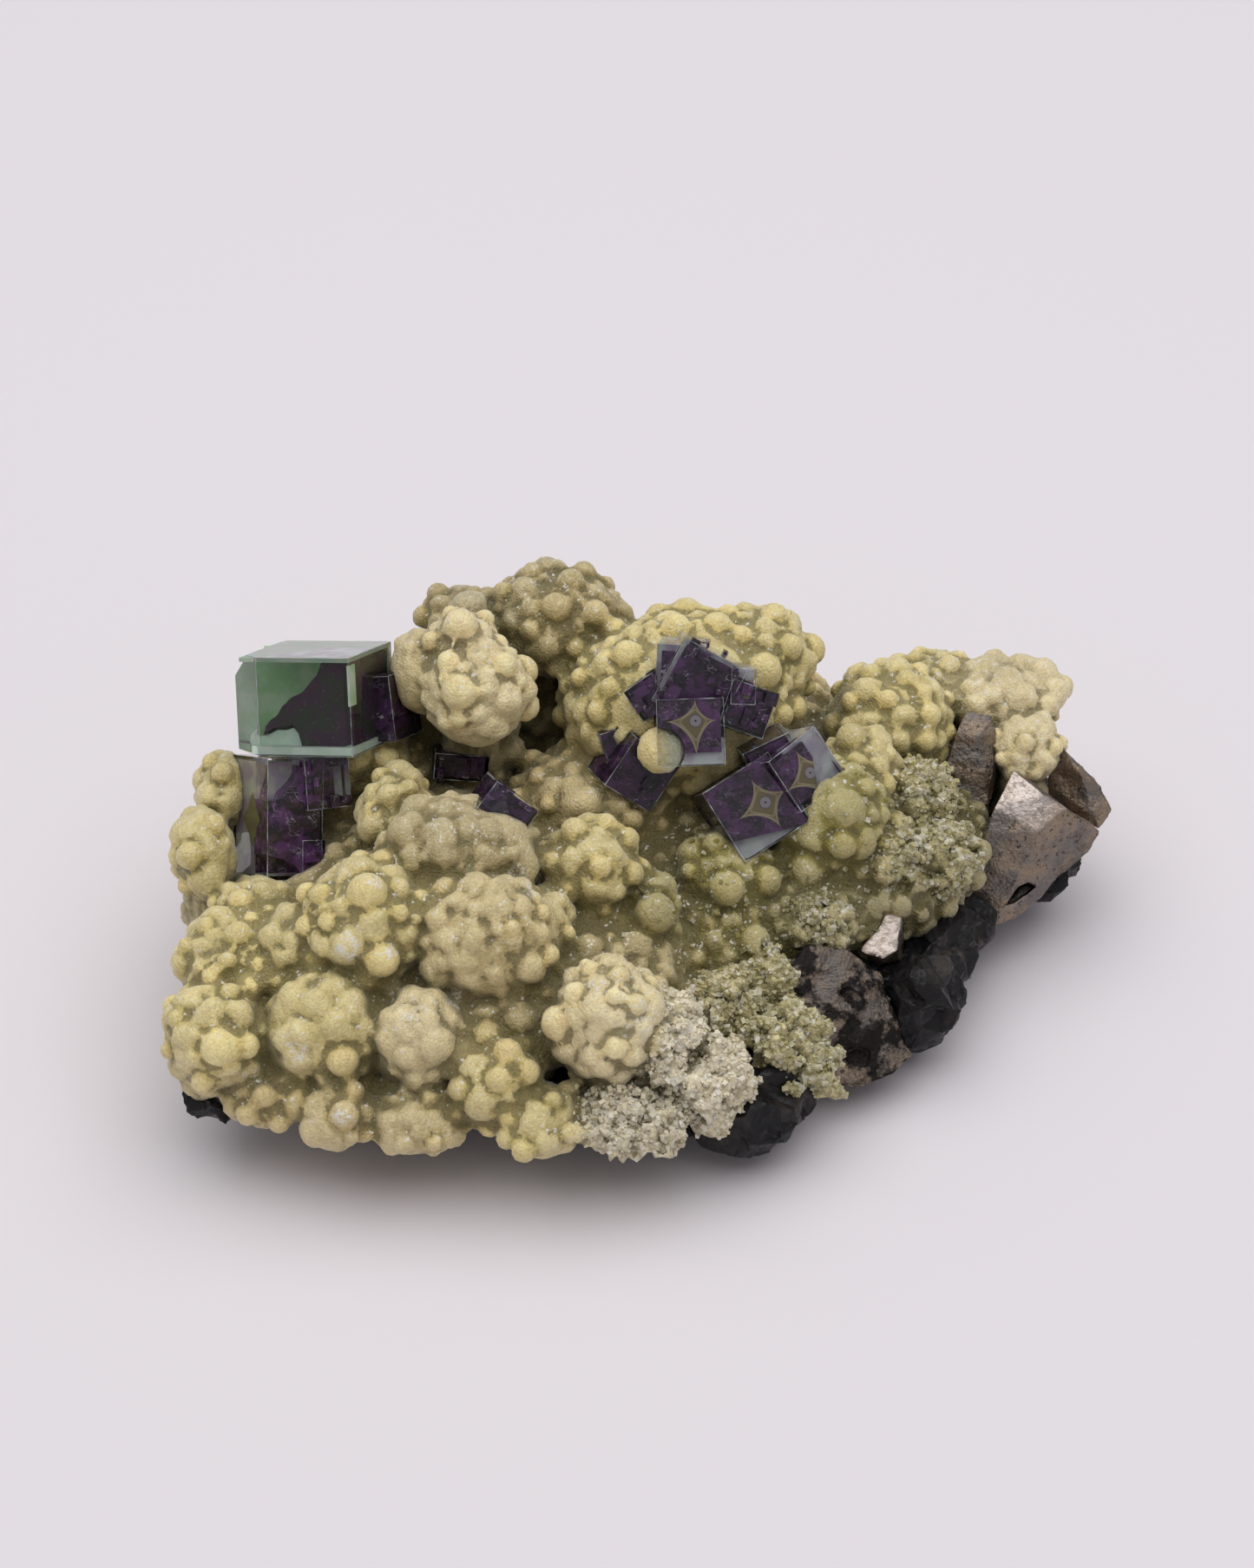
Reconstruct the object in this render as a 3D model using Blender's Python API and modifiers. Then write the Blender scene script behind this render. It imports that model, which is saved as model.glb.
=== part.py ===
"""Fluorite on dolomite matrix: a hand specimen about 100 mm wide.

A dark sulphide rock carries a crust of botryoidal dolomite, whose lobes are covered with pearls. Fluorite cubes
grow on the crust, and metallic blocks stand along its right edge. Lengths are in metres, +Z is up, and the origin
is the middle of the flat face that the specimen rests on.

Places are read off the photograph, as a column and a row of its 1445 x 1807 frame. A mass of the crust has its
height above the rest face as well, and what grows on the crust stands where the line of sight meets the crust.
Sizes are real sizes. Run it with: blender --background --python part.py
"""

import math
import random
from typing import NamedTuple

import bmesh
import bpy
from mathutils import Matrix, Vector, noise

MM = 0.001
GAP = 0.35 * MM  # clearance between two minerals that meet
SEED = 11

# The line of sight of the photograph: a 100 mm lens on a 36 mm long side, looking down at the specimen
FRAME_COLUMNS = 1445
FRAME_ROWS = 1807
SIGHT_ELEVATION = math.radians(38)
SIGHT_DISTANCE = 465 * MM
SIGHT_TARGET = Vector((-3 * MM, 7 * MM, 20 * MM))
LONG_SIDE_PER_DISTANCE = 36 / 100

# The crust
FLOOR_OF_CRUST = 8.5 * MM  # where the crust's roots stand on the rock
CRUST_VOXEL = 0.8 * MM
CRUST_TRIANGLES = 6300
LEAST_PEARL = 1.2 * MM
LEAST_PEARL_HEIGHT = 7 * MM

# The rock: its outline in plan, and how that outline shrinks from level to level
ROCK_OUTLINE = [
    (-46, -27),
    (-30, -35),
    (2, -37),
    (25, -23),
    (37, -3),
    (46, 11),
    (43, 27),
    (12, 34),
    (-28, 31),
    (-45, 6),
]
ROCK_CENTRE = (-2, -1)
ROCK_LEVELS = [(-1.5, 0.56), (2, 0.72), (5.5, 0.88), (8, 0.84), (10.5, 0.62)]  # height in mm, share of the outline
ROCK_VOXEL = 1.9 * MM
ROCK_ROUGHNESS = 1.5 * MM
ROCK_TRIANGLES = 1000


class Lobe(NamedTuple):
    """A rounded mass of the crust: its middle as seen in the photograph, its height, and its radii in mm."""

    column: float
    row: float
    height: float
    radii: tuple
    pearls: tuple = (1.0, 1.7)  # least and greatest radius of the pearls that cover it, in mm


class Hidden(NamedTuple):
    """A rounded mass of the crust on the far side: its middle and its radii, in mm."""

    place: tuple
    radii: tuple
    pearls: tuple = (1.1, 1.9)


LOBES = {
    # The front row, just above the rock
    "front_left": Lobe(375, 1188, 14, (6.5, 6.0, 6.2), (0.6, 1.2)),
    "front_middle": Lobe(487, 1202, 14, (4.8, 5.0, 5.8), (0.6, 1.2)),
    "front_bud": Lobe(572, 1246, 12, (4.4, 4.5, 4.4), (1.1, 1.8)),
    "front_right": Lobe(700, 1180, 16, (5.6, 5.6, 6.6), (0.9, 1.6)),
    "front_shoulder": Lobe(762, 1205, 13, (4.2, 5.0, 5.0), (0.6, 1.0)),
    "foot_left": Lobe(390, 1282, 9.5, (3.6, 4.4, 3.0), (1.2, 1.8)),
    "foot_middle": Lobe(480, 1288, 9, (5.0, 4.6, 2.9), (0.8, 1.4)),
    "foot_right": Lobe(620, 1290, 9.5, (4.2, 4.6, 3.0), (1.1, 1.7)),
    "foot_ledge": Lobe(728, 1288, 9, (5.6, 5.0, 2.8), (0.6, 1.0)),
    "foot_corner": Lobe(310, 1255, 9.5, (4.6, 4.6, 2.9), (1.0, 1.6)),
    "left_low": Lobe(252, 1192, 14, (5.2, 6.0, 5.4), (1.1, 1.9)),
    "left_edge": Lobe(238, 1218, 12, (3.4, 4.5, 3.8), (1.1, 1.7)),
    "left_mid": Lobe(262, 1112, 17, (4.8, 5.5, 4.6), (1.1, 1.8)),
    # The second tier
    "upper_left": Lobe(425, 1062, 22, (7.0, 6.5, 6.0), (1.1, 1.9)),
    "upper_slope": Lobe(345, 1100, 18, (4.6, 5.0, 4.6), (1.0, 1.6)),
    "upper_right": Lobe(562, 1082, 21, (7.4, 6.5, 6.4), (0.8, 1.3)),
    "upper_end": Lobe(625, 1075, 20, (3.2, 4.2, 4.2), (1.0, 1.5)),
    "under_cube": Lobe(296, 1046, 18, (4.6, 5.0, 3.8), (1.1, 1.9)),
    "left_top": Lobe(238, 985, 20, (3.0, 4.6, 4.8), (1.1, 2.0)),
    "left_back": Lobe(262, 914, 21, (2.8, 4.4, 4.2), (1.1, 2.0)),
    "saddle": Lobe(530, 975, 26, (7.9, 6.0, 4.6), (0.7, 1.2)),
    "saddle_back": Lobe(447, 928, 26, (5.0, 6.0, 4.4), (1.2, 2.0)),
    "middle": Lobe(683, 1000, 22, (4.9, 5.0, 4.6), (1.3, 2.0)),
    "finger": Lobe(752, 1052, 18, (2.5, 3.2, 3.7), (0.8, 1.2)),
    "hollow": Lobe(690, 915, 20, (9.0, 7.0, 4.0), (1.2, 1.9)),
    "under_green": Lobe(385, 850, 24, (8.0, 7.0, 5.5), (1.2, 1.9)),
    # The domes at the back
    "dome": Lobe(550, 812, 31, (6.6, 6.0, 7.2), (1.1, 2.2)),
    "dome_top": Lobe(533, 746, 36, (3.8, 3.6, 3.8), (0.9, 1.6)),
    "dome_side": Lobe(490, 775, 32, (3.6, 4.4, 4.4), (1.1, 1.8)),
    "back_dome": Lobe(638, 718, 31, (7.4, 6.5, 5.6), (1.2, 2.0)),
    "back_left": Lobe(530, 712, 30, (4.0, 4.4, 2.8), (1.2, 1.8)),
    "right_dome": Lobe(780, 815, 26, (12.2, 10.5, 9.6), (1.3, 2.1)),
    "right_dome_top": Lobe(868, 765, 29, (6.2, 6.0, 5.8), (1.4, 2.2)),
    "right_flank": Lobe(955, 950, 20, (6.6, 6.4, 7.2), (1.3, 2.0)),
    "right_flank_top": Lobe(990, 893, 22, (4.2, 5.0, 4.6), (1.2, 1.9)),
    "pocket": Lobe(820, 1085, 12, (7.6, 6.5, 5.6), (1.3, 2.1)),
    "pocket_top": Lobe(838, 1015, 17, (5.2, 5.5, 5.2), (1.3, 2.0)),
    # The right end, where the crust is thin over the metallic blocks
    "end_dome": Lobe(1026, 828, 22, (6.4, 6.5, 5.2), (1.2, 1.9)),
    "end_back": Lobe(1150, 800, 22, (7.4, 5.0, 3.4), (0.7, 1.2)),
    "end_bridge": Lobe(1075, 795, 22, (5.4, 5.0, 3.4), (1.0, 1.6)),
    "end_cluster": Lobe(1180, 862, 20, (3.8, 3.6, 3.6), (0.9, 1.4)),
    "end_drusy": Lobe(1052, 925, 16, (4.2, 4.6, 4.4), (0.6, 1.0)),
    "ledge_top": Lobe(1025, 995, 12, (4.6, 4.6, 4.2), (0.6, 1.0)),
    "ledge_neck": Lobe(1082, 1000, 11, (3.0, 4.0, 3.6), (0.6, 1.0)),
    "ledge_mid": Lobe(945, 1060, 12, (4.8, 4.2, 4.0), (0.6, 1.0)),
    "ledge_low": Lobe(880, 1140, 11, (3.4, 4.0, 3.8), (0.6, 1.0)),
    "ledge_inner": Lobe(832, 1168, 11, (4.4, 4.4, 4.0), (0.9, 1.4)),
    "ledge_foot": Lobe(905, 1200, 10, (3.6, 4.0, 3.6), (0.5, 0.9)),
    "ledge_heel": Lobe(935, 1232, 8.5, (2.6, 3.4, 2.4), (0.5, 0.9)),
    "ledge_end": Lobe(812, 1250, 10, (4.4, 4.6, 4.2), (0.5, 0.9)),
}

HIDDEN_LOBES = {
    "core_left": Hidden((-20, -8, 13), (26, 23, 8)),
    "core_right": Hidden((12, 8, 13), (24, 20, 8)),
    "far_left": Hidden((-30, 16, 17), (11, 10, 8)),
    "far_middle": Hidden((-9, 26, 17), (12, 9, 8)),
    "far_right": Hidden((10, 25, 15), (10, 8, 6.5)),
    "far_end": Hidden((32, 21, 14), (9, 8, 5)),
    "far_corner": Hidden((-38, 6, 14), (9, 9, 6)),
}


class Pearl(NamedTuple):
    """A single pearl that stands out in the photograph: where it shows, and its radius in mm."""

    column: float
    row: float
    radius: float


PEARLS = [
    Pearl(395, 1222, 2.0),
    Pearl(645, 1178, 2.1),
    Pearl(634, 1145, 1.4),
    Pearl(762, 865, 2.5),
    Pearl(690, 821, 1.7),
    Pearl(817, 1063, 1.2),
    Pearl(440, 1105, 2.2),
    Pearl(531, 1218, 2.0),
    Pearl(564, 1300, 1.6),
    Pearl(529, 798, 2.2),
    Pearl(930, 1001, 2.6),
]


class Block(NamedTuple):
    """A cuboid that a crystal is built from, given as the photograph shows it.

    Its front face has its middle at a column and a row, and is across x up x deep in mm. Turned to a side, leaned
    and rolled, in degrees, it still faces the photograph's eye. The first block of a crystal stands so far out of
    the crust, in mm, and the others so far in front of the first. A cut takes an edge or a corner off it: its
    direction (right, up, to the eye) and its depth in mm.
    """

    column: float
    row: float
    stand: float
    size: tuple
    turn: float = 0
    lean: float = 0
    roll: float = 0
    cuts: tuple = ()


FLUORITES = {
    "green_fluorite": [
        Block(329, 815, 9.0, (14.5, 10.4, 12.4), -18, 10, -1, (((-1, 0, 1), 2.9), ((-1, 1, 0), 1.8))),
        Block(419, 819, -5.5, (6.6, 7.0, 7.0), -21, 10, 3),
    ],
    "stepped_fluorite": [
        Block(340, 944, 7.0, (6.2, 12.8, 9.6), 27, 3, 1),
        Block(378, 902, -0.8, (5.0, 5.4, 6.0), 27, 3, 6),
        Block(362, 988, -1.2, (2.6, 3.6, 5.0), 27, 3, 1),
    ],
    "star_fluorite": [
        Block(796, 844, 4.6, (7.0, 7.0, 7.6), 2, 4, 2),
        Block(806, 790, -1.4, (7.4, 7.4, 6.4), 4, 9, -28),
        Block(783, 778, -2.4, (5.0, 6.4, 5.4), -8, 10, -4),
        Block(746, 804, -2.8, (3.6, 3.8, 5.0), -10, 8, 34),
        Block(857, 791, -1.2, (2.6, 3.8, 4.6), 4, 6, -2),
        Block(862, 817, -2.2, (5.2, 5.0, 5.4), 18, 6, -18),
    ],
    "dark_fluorite": [
        Block(741, 893, 2.6, (6.0, 6.0, 6.4), 18, 17, -30),
        Block(722, 862, -1.6, (4.6, 4.6, 4.0), 6, 12, 20),
    ],
    "corner_fluorite": [
        Block(872, 930, 8.0, (8.2, 8.4, 8.4), 8, -3, 32),
        Block(931, 886, -0.6, (6.6, 6.4, 7.6), 24, -4, 35),
        Block(894, 882, -1.8, (5.4, 5.2, 6.4), 8, 10, 26),
    ],
    "fluorite_chip": [
        Block(532, 885, 6.4, (5.8, 2.8, 8.0), 4, 12, -4),
    ],
    "fluorite_splinter": [
        Block(585, 934, 1.0, (5.4, 3.6, 7.0), 10, 8, -36),
    ],
}


class Corner(NamedTuple):
    """A corner of a metallic block: where it shows, and its height in mm."""

    column: float
    row: float
    height: float


SULPHIDES = {
    "arsenopyrite_wedge": [
        Corner(1168, 887, 20.5),
        Corner(1145, 932, 18),
        Corner(1137, 960, 15.8),
        Corner(1203, 915, 19.3),
        Corner(1231, 932, 18),
        Corner(1196, 962, 16),
        Corner(1104, 1025, 9.6),
        Corner(1145, 1067, 6),
        Corner(1168, 1060, 6),
        Corner(1267, 957, 13.5),
        Corner(1256, 982, 11),
        Corner(1214, 1014, 8.4),
        Corner(1175, 930, 9),
        Corner(1215, 960, 6),
    ],
    "arsenopyrite_prism": [
        Corner(1114, 820, 24.5),
        Corner(1144, 824, 24.2),
        Corner(1102, 843, 23),
        Corner(1128, 848, 23),
        Corner(1148, 846, 22.5),
        Corner(1080, 914, 16.8),
        Corner(1100, 932, 15.5),
        Corner(1139, 928, 16.2),
        Corner(1147, 912, 16.5),
        Corner(1110, 870, 12),
        Corner(1135, 880, 11),
    ],
    "arsenopyrite_end": [
        Corner(1214, 858, 20.5),
        Corner(1226, 862, 20.5),
        Corner(1243, 886, 19),
        Corner(1268, 906, 17),
        Corner(1283, 934, 14.5),
        Corner(1266, 955, 13),
        Corner(1205, 914, 15),
        Corner(1225, 930, 12),
        Corner(1255, 925, 8),
    ],
    "arsenopyrite_blade": [
        Corner(1029, 1044, 15.4),
        Corner(1040, 1046, 15.2),
        Corner(1035, 1096, 13.0),
        Corner(1018, 1106, 12.4),
        Corner(992, 1096, 12.8),
        Corner(1011, 1070, 14.2),
        Corner(1013, 1116, 9),
        Corner(1038, 1108, 9),
        Corner(1048, 1075, 9),
        Corner(1010, 1090, 6),
    ],
    "arsenopyrite_block": [
        Corner(892, 1126, 13.2),
        Corner(929, 1087, 15),
        Corner(975, 1092, 14),
        Corner(1014, 1120, 11.5),
        Corner(962, 1130, 12.6),
        Corner(1026, 1164, 9),
        Corner(1051, 1216, 4.8),
        Corner(1030, 1238, 4),
        Corner(990, 1256, 3.6),
        Corner(964, 1250, 4),
        Corner(958, 1180, 2.5),
        Corner(990, 1130, 4),
    ],
}


class Lump(NamedTuple):
    """A rough lump of the dark rock: where its middle shows, its height and its radii in mm."""

    column: float
    row: float
    height: float
    radii: tuple


ROCK_LUMPS = {
    "ledge_front": Lump(858, 1278, 6, (5.6, 5.0, 3.8)),
    "ledge_mark": Lump(900, 1248, 7, (3.6, 4.0, 3.4)),
    "ledge_bulge": Lump(1072, 1152, 8, (3.6, 4.0, 5.2)),
    "ledge_neck": Lump(1045, 1170, 6, (4.0, 4.4, 4.4)),
    "ledge_right": Lump(1086, 1082, 8.5, (3.6, 4.6, 4.6)),
    "ledge_step": Lump(1110, 1058, 7, (3.6, 4.0, 3.2)),
    "left_toe": Lump(262, 1250, 8, (5.0, 5.0, 2.6)),
    "right_toe": Lump(1185, 985, 7, (5.5, 6.0, 4.0)),
}

COLOURS = {
    "dolomite": ((0.49, 0.43, 0.22, 1), 0.55, 0.0),
    "green fluorite": ((0.25, 0.52, 0.33, 1), 0.05, 0.0),
    "purple fluorite": ((0.06, 0.03, 0.09, 1), 0.08, 0.0),
    "arsenopyrite": ((0.32, 0.28, 0.25, 1), 0.35, 1.0),
    "sphalerite": ((0.03, 0.03, 0.03, 1), 0.45, 0.1),
}


def clear_scene():
    """Remove what a new Blender file holds."""
    for thing in list(bpy.data.objects):
        bpy.data.objects.remove(thing)


def new_collection(name):
    """A collection linked to the scene."""
    collection = bpy.data.collections.new(name)
    bpy.context.scene.collection.children.link(collection)
    return collection


def sight():
    """Where the photograph was taken from, and its axes as a turn: right, up, and towards the eye."""
    cos, sin = math.cos(SIGHT_ELEVATION), math.sin(SIGHT_ELEVATION)
    to_eye = Vector((0, -cos, sin))
    turn = Matrix((Vector((1, 0, 0)), Vector((0, sin, cos)), to_eye)).transposed()
    return SIGHT_TARGET + to_eye * SIGHT_DISTANCE, turn


def ray_to(column, row):
    """Start and direction of the line of sight through a pixel of the photograph."""
    eye, turn = sight()
    step = LONG_SIDE_PER_DISTANCE / FRAME_ROWS
    aim = Vector(((column - FRAME_COLUMNS / 2) * step, (FRAME_ROWS / 2 - row) * step, -1))
    return eye, (turn @ aim).normalized()


def seen_at(column, row, height):
    """The point that shows at a pixel of the photograph, at a height in mm above the rest face."""
    eye, way = ray_to(column, row)
    return eye + way * ((height * MM - eye.z) / way.z)


def lobes():
    """Every mass of the crust as its middle, its radii and the size of its pearls, in metres."""
    found = [(seen_at(l.column, l.row, l.height), Vector(l.radii) * MM, l.pearls) for l in LOBES.values()]
    found += [(Vector(h.place) * MM, Vector(h.radii) * MM, h.pearls) for h in HIDDEN_LOBES.values()]
    return found


def stretched(vector, radii):
    """A vector in the space where an ellipsoid of these radii is a ball of radius 1."""
    return Vector((vector.x / radii.x, vector.y / radii.y, vector.z / radii.z))


def meeting_point(column, row, masses):
    """Where the line of sight first meets the masses, or the rim of the mass that it passes closest."""
    eye, direction = ray_to(column, row)
    nearest, closest = None, None
    for middle, radii, _ in masses:
        start, way = stretched(eye - middle, radii), stretched(direction, radii)
        along = -start.dot(way) / way.length_squared
        miss = (start + way * along).length
        if miss < 1:
            distance = along - math.sqrt(1 - miss * miss) / way.length
            if nearest is None or distance < nearest[0]:
                nearest = (distance, eye + direction * distance)
        elif closest is None or miss < closest[0]:
            rim = (start + way * along) / miss
            closest = (miss, middle + Vector((rim.x * radii.x, rim.y * radii.y, rim.z * radii.z)))
    return (nearest or closest)[1]


def place_blocks(masses):
    """Where the middle of each block of each fluorite is, and how it is turned, as matrices by name."""
    placed = {}
    for name, blocks in FLUORITES.items():
        eye, axes = sight()
        first = blocks[0]
        root = meeting_point(first.column, first.row, masses)
        depth = (root - eye).dot(-axes.col[2]) - first.stand * MM
        placed[name] = []
        for place, block in enumerate(blocks):
            nearer = block.stand * MM if place else 0
            way = ray_to(block.column, block.row)[1]
            front = eye + way * ((depth - nearer) / way.dot(-axes.col[2]))
            turn = axes.to_4x4() @ Matrix.Rotation(math.radians(block.turn), 4, "Y")
            turn = turn @ Matrix.Rotation(math.radians(block.lean), 4, "X")
            turn = turn @ Matrix.Rotation(math.radians(block.roll), 4, "Z")
            middle = Matrix.Translation((0, 0, -block.size[2] * MM / 2))
            placed[name].append(Matrix.Translation(front) @ turn @ middle)
    return placed


def hides_fluorite(point, radius, placed):
    """Whether a pearl here would stand inside a fluorite, or between it and the photograph's eye."""
    eye = sight()[0]
    for name, matrices in placed.items():
        for block, matrix in zip(FLUORITES[name], matrices):
            to_block = matrix.inverted()
            half = [side * MM / 2 + radius * 0.8 for side in block.size]
            start, way = to_block @ point, to_block.to_3x3() @ (point - eye).normalized()
            enter, leave = -radius, 1.0
            for axis in range(3):
                if abs(way[axis]) < 1e-9:
                    continue
                ends = sorted((side * half[axis] - start[axis]) / way[axis] for side in (-1, 1))
                enter, leave = max(enter, ends[0]), min(leave, ends[1])
            if enter < leave:
                return True
    return False


def spread_pearls(masses, placed, taken):
    """Pearls over every mass, evenly spread on a golden spiral, where nothing else stands already."""
    chance = random.Random(SEED)
    golden = math.pi * (3 - math.sqrt(5))
    found = list(taken)
    for middle, radii, (least, most) in masses:
        area = 4 * math.pi * ((radii.x * radii.y * radii.z) ** (2 / 3))
        count = int(area / (2.6 * (least + most) / 2 * MM) ** 2)
        for k in range(count):
            up = 1 - 2 * (k + 0.5) / count
            ring, angle = math.sqrt(1 - up * up), golden * k + chance.uniform(-0.3, 0.3)
            way = Vector((ring * math.cos(angle), ring * math.sin(angle), up))
            point = middle + Vector((way.x * radii.x, way.y * radii.y, way.z * radii.z))
            radius = chance.uniform(least, most) * MM
            buried = any(
                m is not middle and stretched(point - m, r).length < 1 - 0.3 * radius / min(r) for m, r, _ in masses
            )
            crowded = any((point - p).length < 0.75 * (radius + q) for p, q in found)
            low = point.z < LEAST_PEARL_HEIGHT or way.z < -0.45 or radius < LEAST_PEARL
            if not (buried or crowded or low or hides_fluorite(point, radius, placed)):
                found.append((point, radius))
    return found


def ball(mesh, middle, radii, divisions):
    """Add one stretched icosphere to a bmesh, and return its vertices."""
    matrix = Matrix.Translation(middle) @ Matrix.Diagonal((*radii, 1))
    return bmesh.ops.create_icosphere(mesh, subdivisions=divisions, radius=1, matrix=matrix)["verts"]


def object_from(mesh, name, collection):
    """A linked object that holds a bmesh, which is freed."""
    data = bpy.data.meshes.new(name)
    mesh.to_mesh(data)
    mesh.free()
    made = bpy.data.objects.new(name, data)
    collection.objects.link(made)
    return made


def settle(thing):
    """Replace an object's mesh by what its modifiers make of it."""
    graph = bpy.context.evaluated_depsgraph_get()
    data = bpy.data.meshes.new_from_object(thing.evaluated_get(graph))
    thing.modifiers.clear()
    thing.data = data


def keep_largest_shell(thing):
    """Delete every shell of a mesh but the one with the most vertices, such as bubbles sealed inside."""
    mesh = bmesh.new()
    mesh.from_mesh(thing.data)
    left, largest = set(mesh.verts), []
    while left:
        shell, front = [], [left.pop()]
        while front:
            vertex = front.pop()
            shell.append(vertex)
            near = {edge.other_vert(vertex) for edge in vertex.link_edges} & left
            left -= near
            front.extend(near)
        largest = max(largest, shell, key=len)
    kept = set(largest)
    bmesh.ops.delete(mesh, geom=[v for v in mesh.verts if v not in kept], context="VERTS")
    mesh.to_mesh(thing.data)
    mesh.free()


def fuse(thing, voxel, triangles):
    """Fuse all that an object holds into one skin, and thin that skin to a number of triangles."""
    skin = thing.modifiers.new("fuse", "REMESH")
    skin.mode, skin.voxel_size = "VOXEL", voxel
    settle(thing)
    keep_largest_shell(thing)
    thin = thing.modifiers.new("thin", "DECIMATE")
    thin.ratio = triangles / (2 * len(thing.data.polygons))
    thin.use_collapse_triangulate = True
    settle(thing)


def combine(thing, other, operation):
    """Join another mesh to an object, or cut it away."""
    step = thing.modifiers.new(operation.lower(), "BOOLEAN")
    step.operation, step.object, step.solver = operation, other, "EXACT"
    settle(thing)


def make_crust(collection, masses, placed):
    """The botryoidal crust: lobes on their roots and pearls over them, fused into one skin."""
    mesh = bmesh.new()
    for middle, radii, _ in masses:
        ball(mesh, middle, radii, 3)
        depth = middle.z - FLOOR_OF_CRUST
        if depth > 0:
            root = Vector((middle.x, middle.y, FLOOR_OF_CRUST + depth / 2))
            ball(mesh, root, (radii.x * 0.9, radii.y * 0.9, depth / 2 + 2 * MM), 3)
    seen = [(meeting_point(p.column, p.row, masses), p.radius * MM) for p in PEARLS]
    for middle, radius in spread_pearls(masses, placed, seen):
        ball(mesh, middle, (radius, radius, radius), 2)
    crust = object_from(mesh, "dolomite_crust", collection)
    fuse(crust, CRUST_VOXEL, CRUST_TRIANGLES)
    return crust


def make_cuboid(block, matrix, name, collection, gap=0.0):
    """A cuboid with the edges and corners cut off it that the block asks for, wider by a gap on every side."""
    mesh = bmesh.new()
    size = Vector(block.size) * MM + Vector((2, 2, 2)) * gap
    bmesh.ops.create_cube(mesh, size=1, matrix=Matrix.Diagonal((*size, 1)))
    for way, depth in block.cuts:
        normal = Vector(way).normalized()
        reach = sum(abs(normal[axis]) * size[axis] / 2 for axis in range(3))
        parts = mesh.verts[:] + mesh.edges[:] + mesh.faces[:]
        at = normal * (reach - depth * MM)
        made = bmesh.ops.bisect_plane(mesh, geom=parts, plane_co=at, plane_no=normal, clear_outer=True)
        bmesh.ops.edgeloop_fill(mesh, edges=[p for p in made["geom_cut"] if isinstance(p, bmesh.types.BMEdge)])
    bmesh.ops.recalc_face_normals(mesh, faces=mesh.faces)
    mesh.transform(matrix)
    return object_from(mesh, name, collection)


def make_fluorite(name, placed, collection):
    """The cuboids of one fluorite, grown together into one solid."""
    cuboids = [make_cuboid(b, m, name, collection) for b, m in zip(FLUORITES[name], placed[name])]
    for other in cuboids[1:]:
        combine(cuboids[0], other, "UNION")
        bpy.data.objects.remove(other)
    return cuboids[0]


def hull_of(mesh):
    """Wrap a bmesh of loose vertices in its hull."""
    hull = bmesh.ops.convex_hull(mesh, input=mesh.verts)
    inside = [part for part in hull["geom_interior"] if isinstance(part, bmesh.types.BMVert)]
    bmesh.ops.delete(mesh, geom=inside, context="VERTS")
    bmesh.ops.recalc_face_normals(mesh, faces=mesh.faces)


def make_sulphide(name, collection):
    """One metallic block: the hull of its corners."""
    mesh = bmesh.new()
    for corner in SULPHIDES[name]:
        mesh.verts.new(seen_at(*corner))
    hull_of(mesh)
    return object_from(mesh, name, collection)


def make_rock(collection):
    """The dark rock: a rough slab with a flat face to rest on, and lumps along its edge."""
    mesh = bmesh.new()
    for height, share in ROCK_LEVELS:
        for x, y in ROCK_OUTLINE:
            across, along = (x - ROCK_CENTRE[0]) * share, (y - ROCK_CENTRE[1]) * share
            mesh.verts.new(Vector((across + ROCK_CENTRE[0], along + ROCK_CENTRE[1], height)) * MM)
    hull_of(mesh)
    for lump in ROCK_LUMPS.values():
        ball(mesh, seen_at(lump.column, lump.row, lump.height), Vector(lump.radii) * MM, 3)
    rock = object_from(mesh, "sphalerite_rock", collection)
    fuse(rock, ROCK_VOXEL, ROCK_TRIANGLES)
    mesh = bmesh.new()
    mesh.from_mesh(rock.data)
    mesh.normal_update()
    for vertex in mesh.verts:
        vertex.co += vertex.normal * noise.noise(vertex.co * 140) * ROCK_ROUGHNESS
    parts = mesh.verts[:] + mesh.edges[:] + mesh.faces[:]
    made = bmesh.ops.bisect_plane(mesh, geom=parts, plane_co=(0, 0, 0), plane_no=(0, 0, -1), clear_outer=True)
    bmesh.ops.edgeloop_fill(mesh, edges=[p for p in made["geom_cut"] if isinstance(p, bmesh.types.BMEdge)])
    bmesh.ops.triangulate(mesh, faces=mesh.faces)
    bmesh.ops.recalc_face_normals(mesh, faces=mesh.faces)
    mesh.to_mesh(rock.data)
    mesh.free()
    return rock


def grown_cuboids(name, placed, collection):
    """The cuboids of a fluorite, each wider by the gap on every side, to cut its neighbours with."""
    return [make_cuboid(b, m, "cutter", collection, GAP) for b, m in zip(FLUORITES[name], placed[name])]


def grown_copy(thing, collection):
    """A copy of a solid whose faces are all moved outwards by the gap, to cut its neighbours with."""
    mesh = bmesh.new()
    mesh.from_mesh(thing.data)
    mesh.normal_update()
    moves = [vertex.normal * min(vertex.calc_shell_factor(), 2.0) * GAP for vertex in mesh.verts]
    for vertex, move in zip(mesh.verts, moves):
        vertex.co += move
    return object_from(mesh, thing.name + "_cutter", collection)


def touches(one, other):
    """Whether the boxes around two objects meet."""
    boxes = []
    for thing in (one, other):
        spots = [vertex.co for vertex in thing.data.vertices]
        boxes.append([(min(s[axis] for s in spots), max(s[axis] for s in spots)) for axis in range(3)])
    return all(a[0] < b[1] and b[0] < a[1] for a, b in zip(*boxes))


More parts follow.
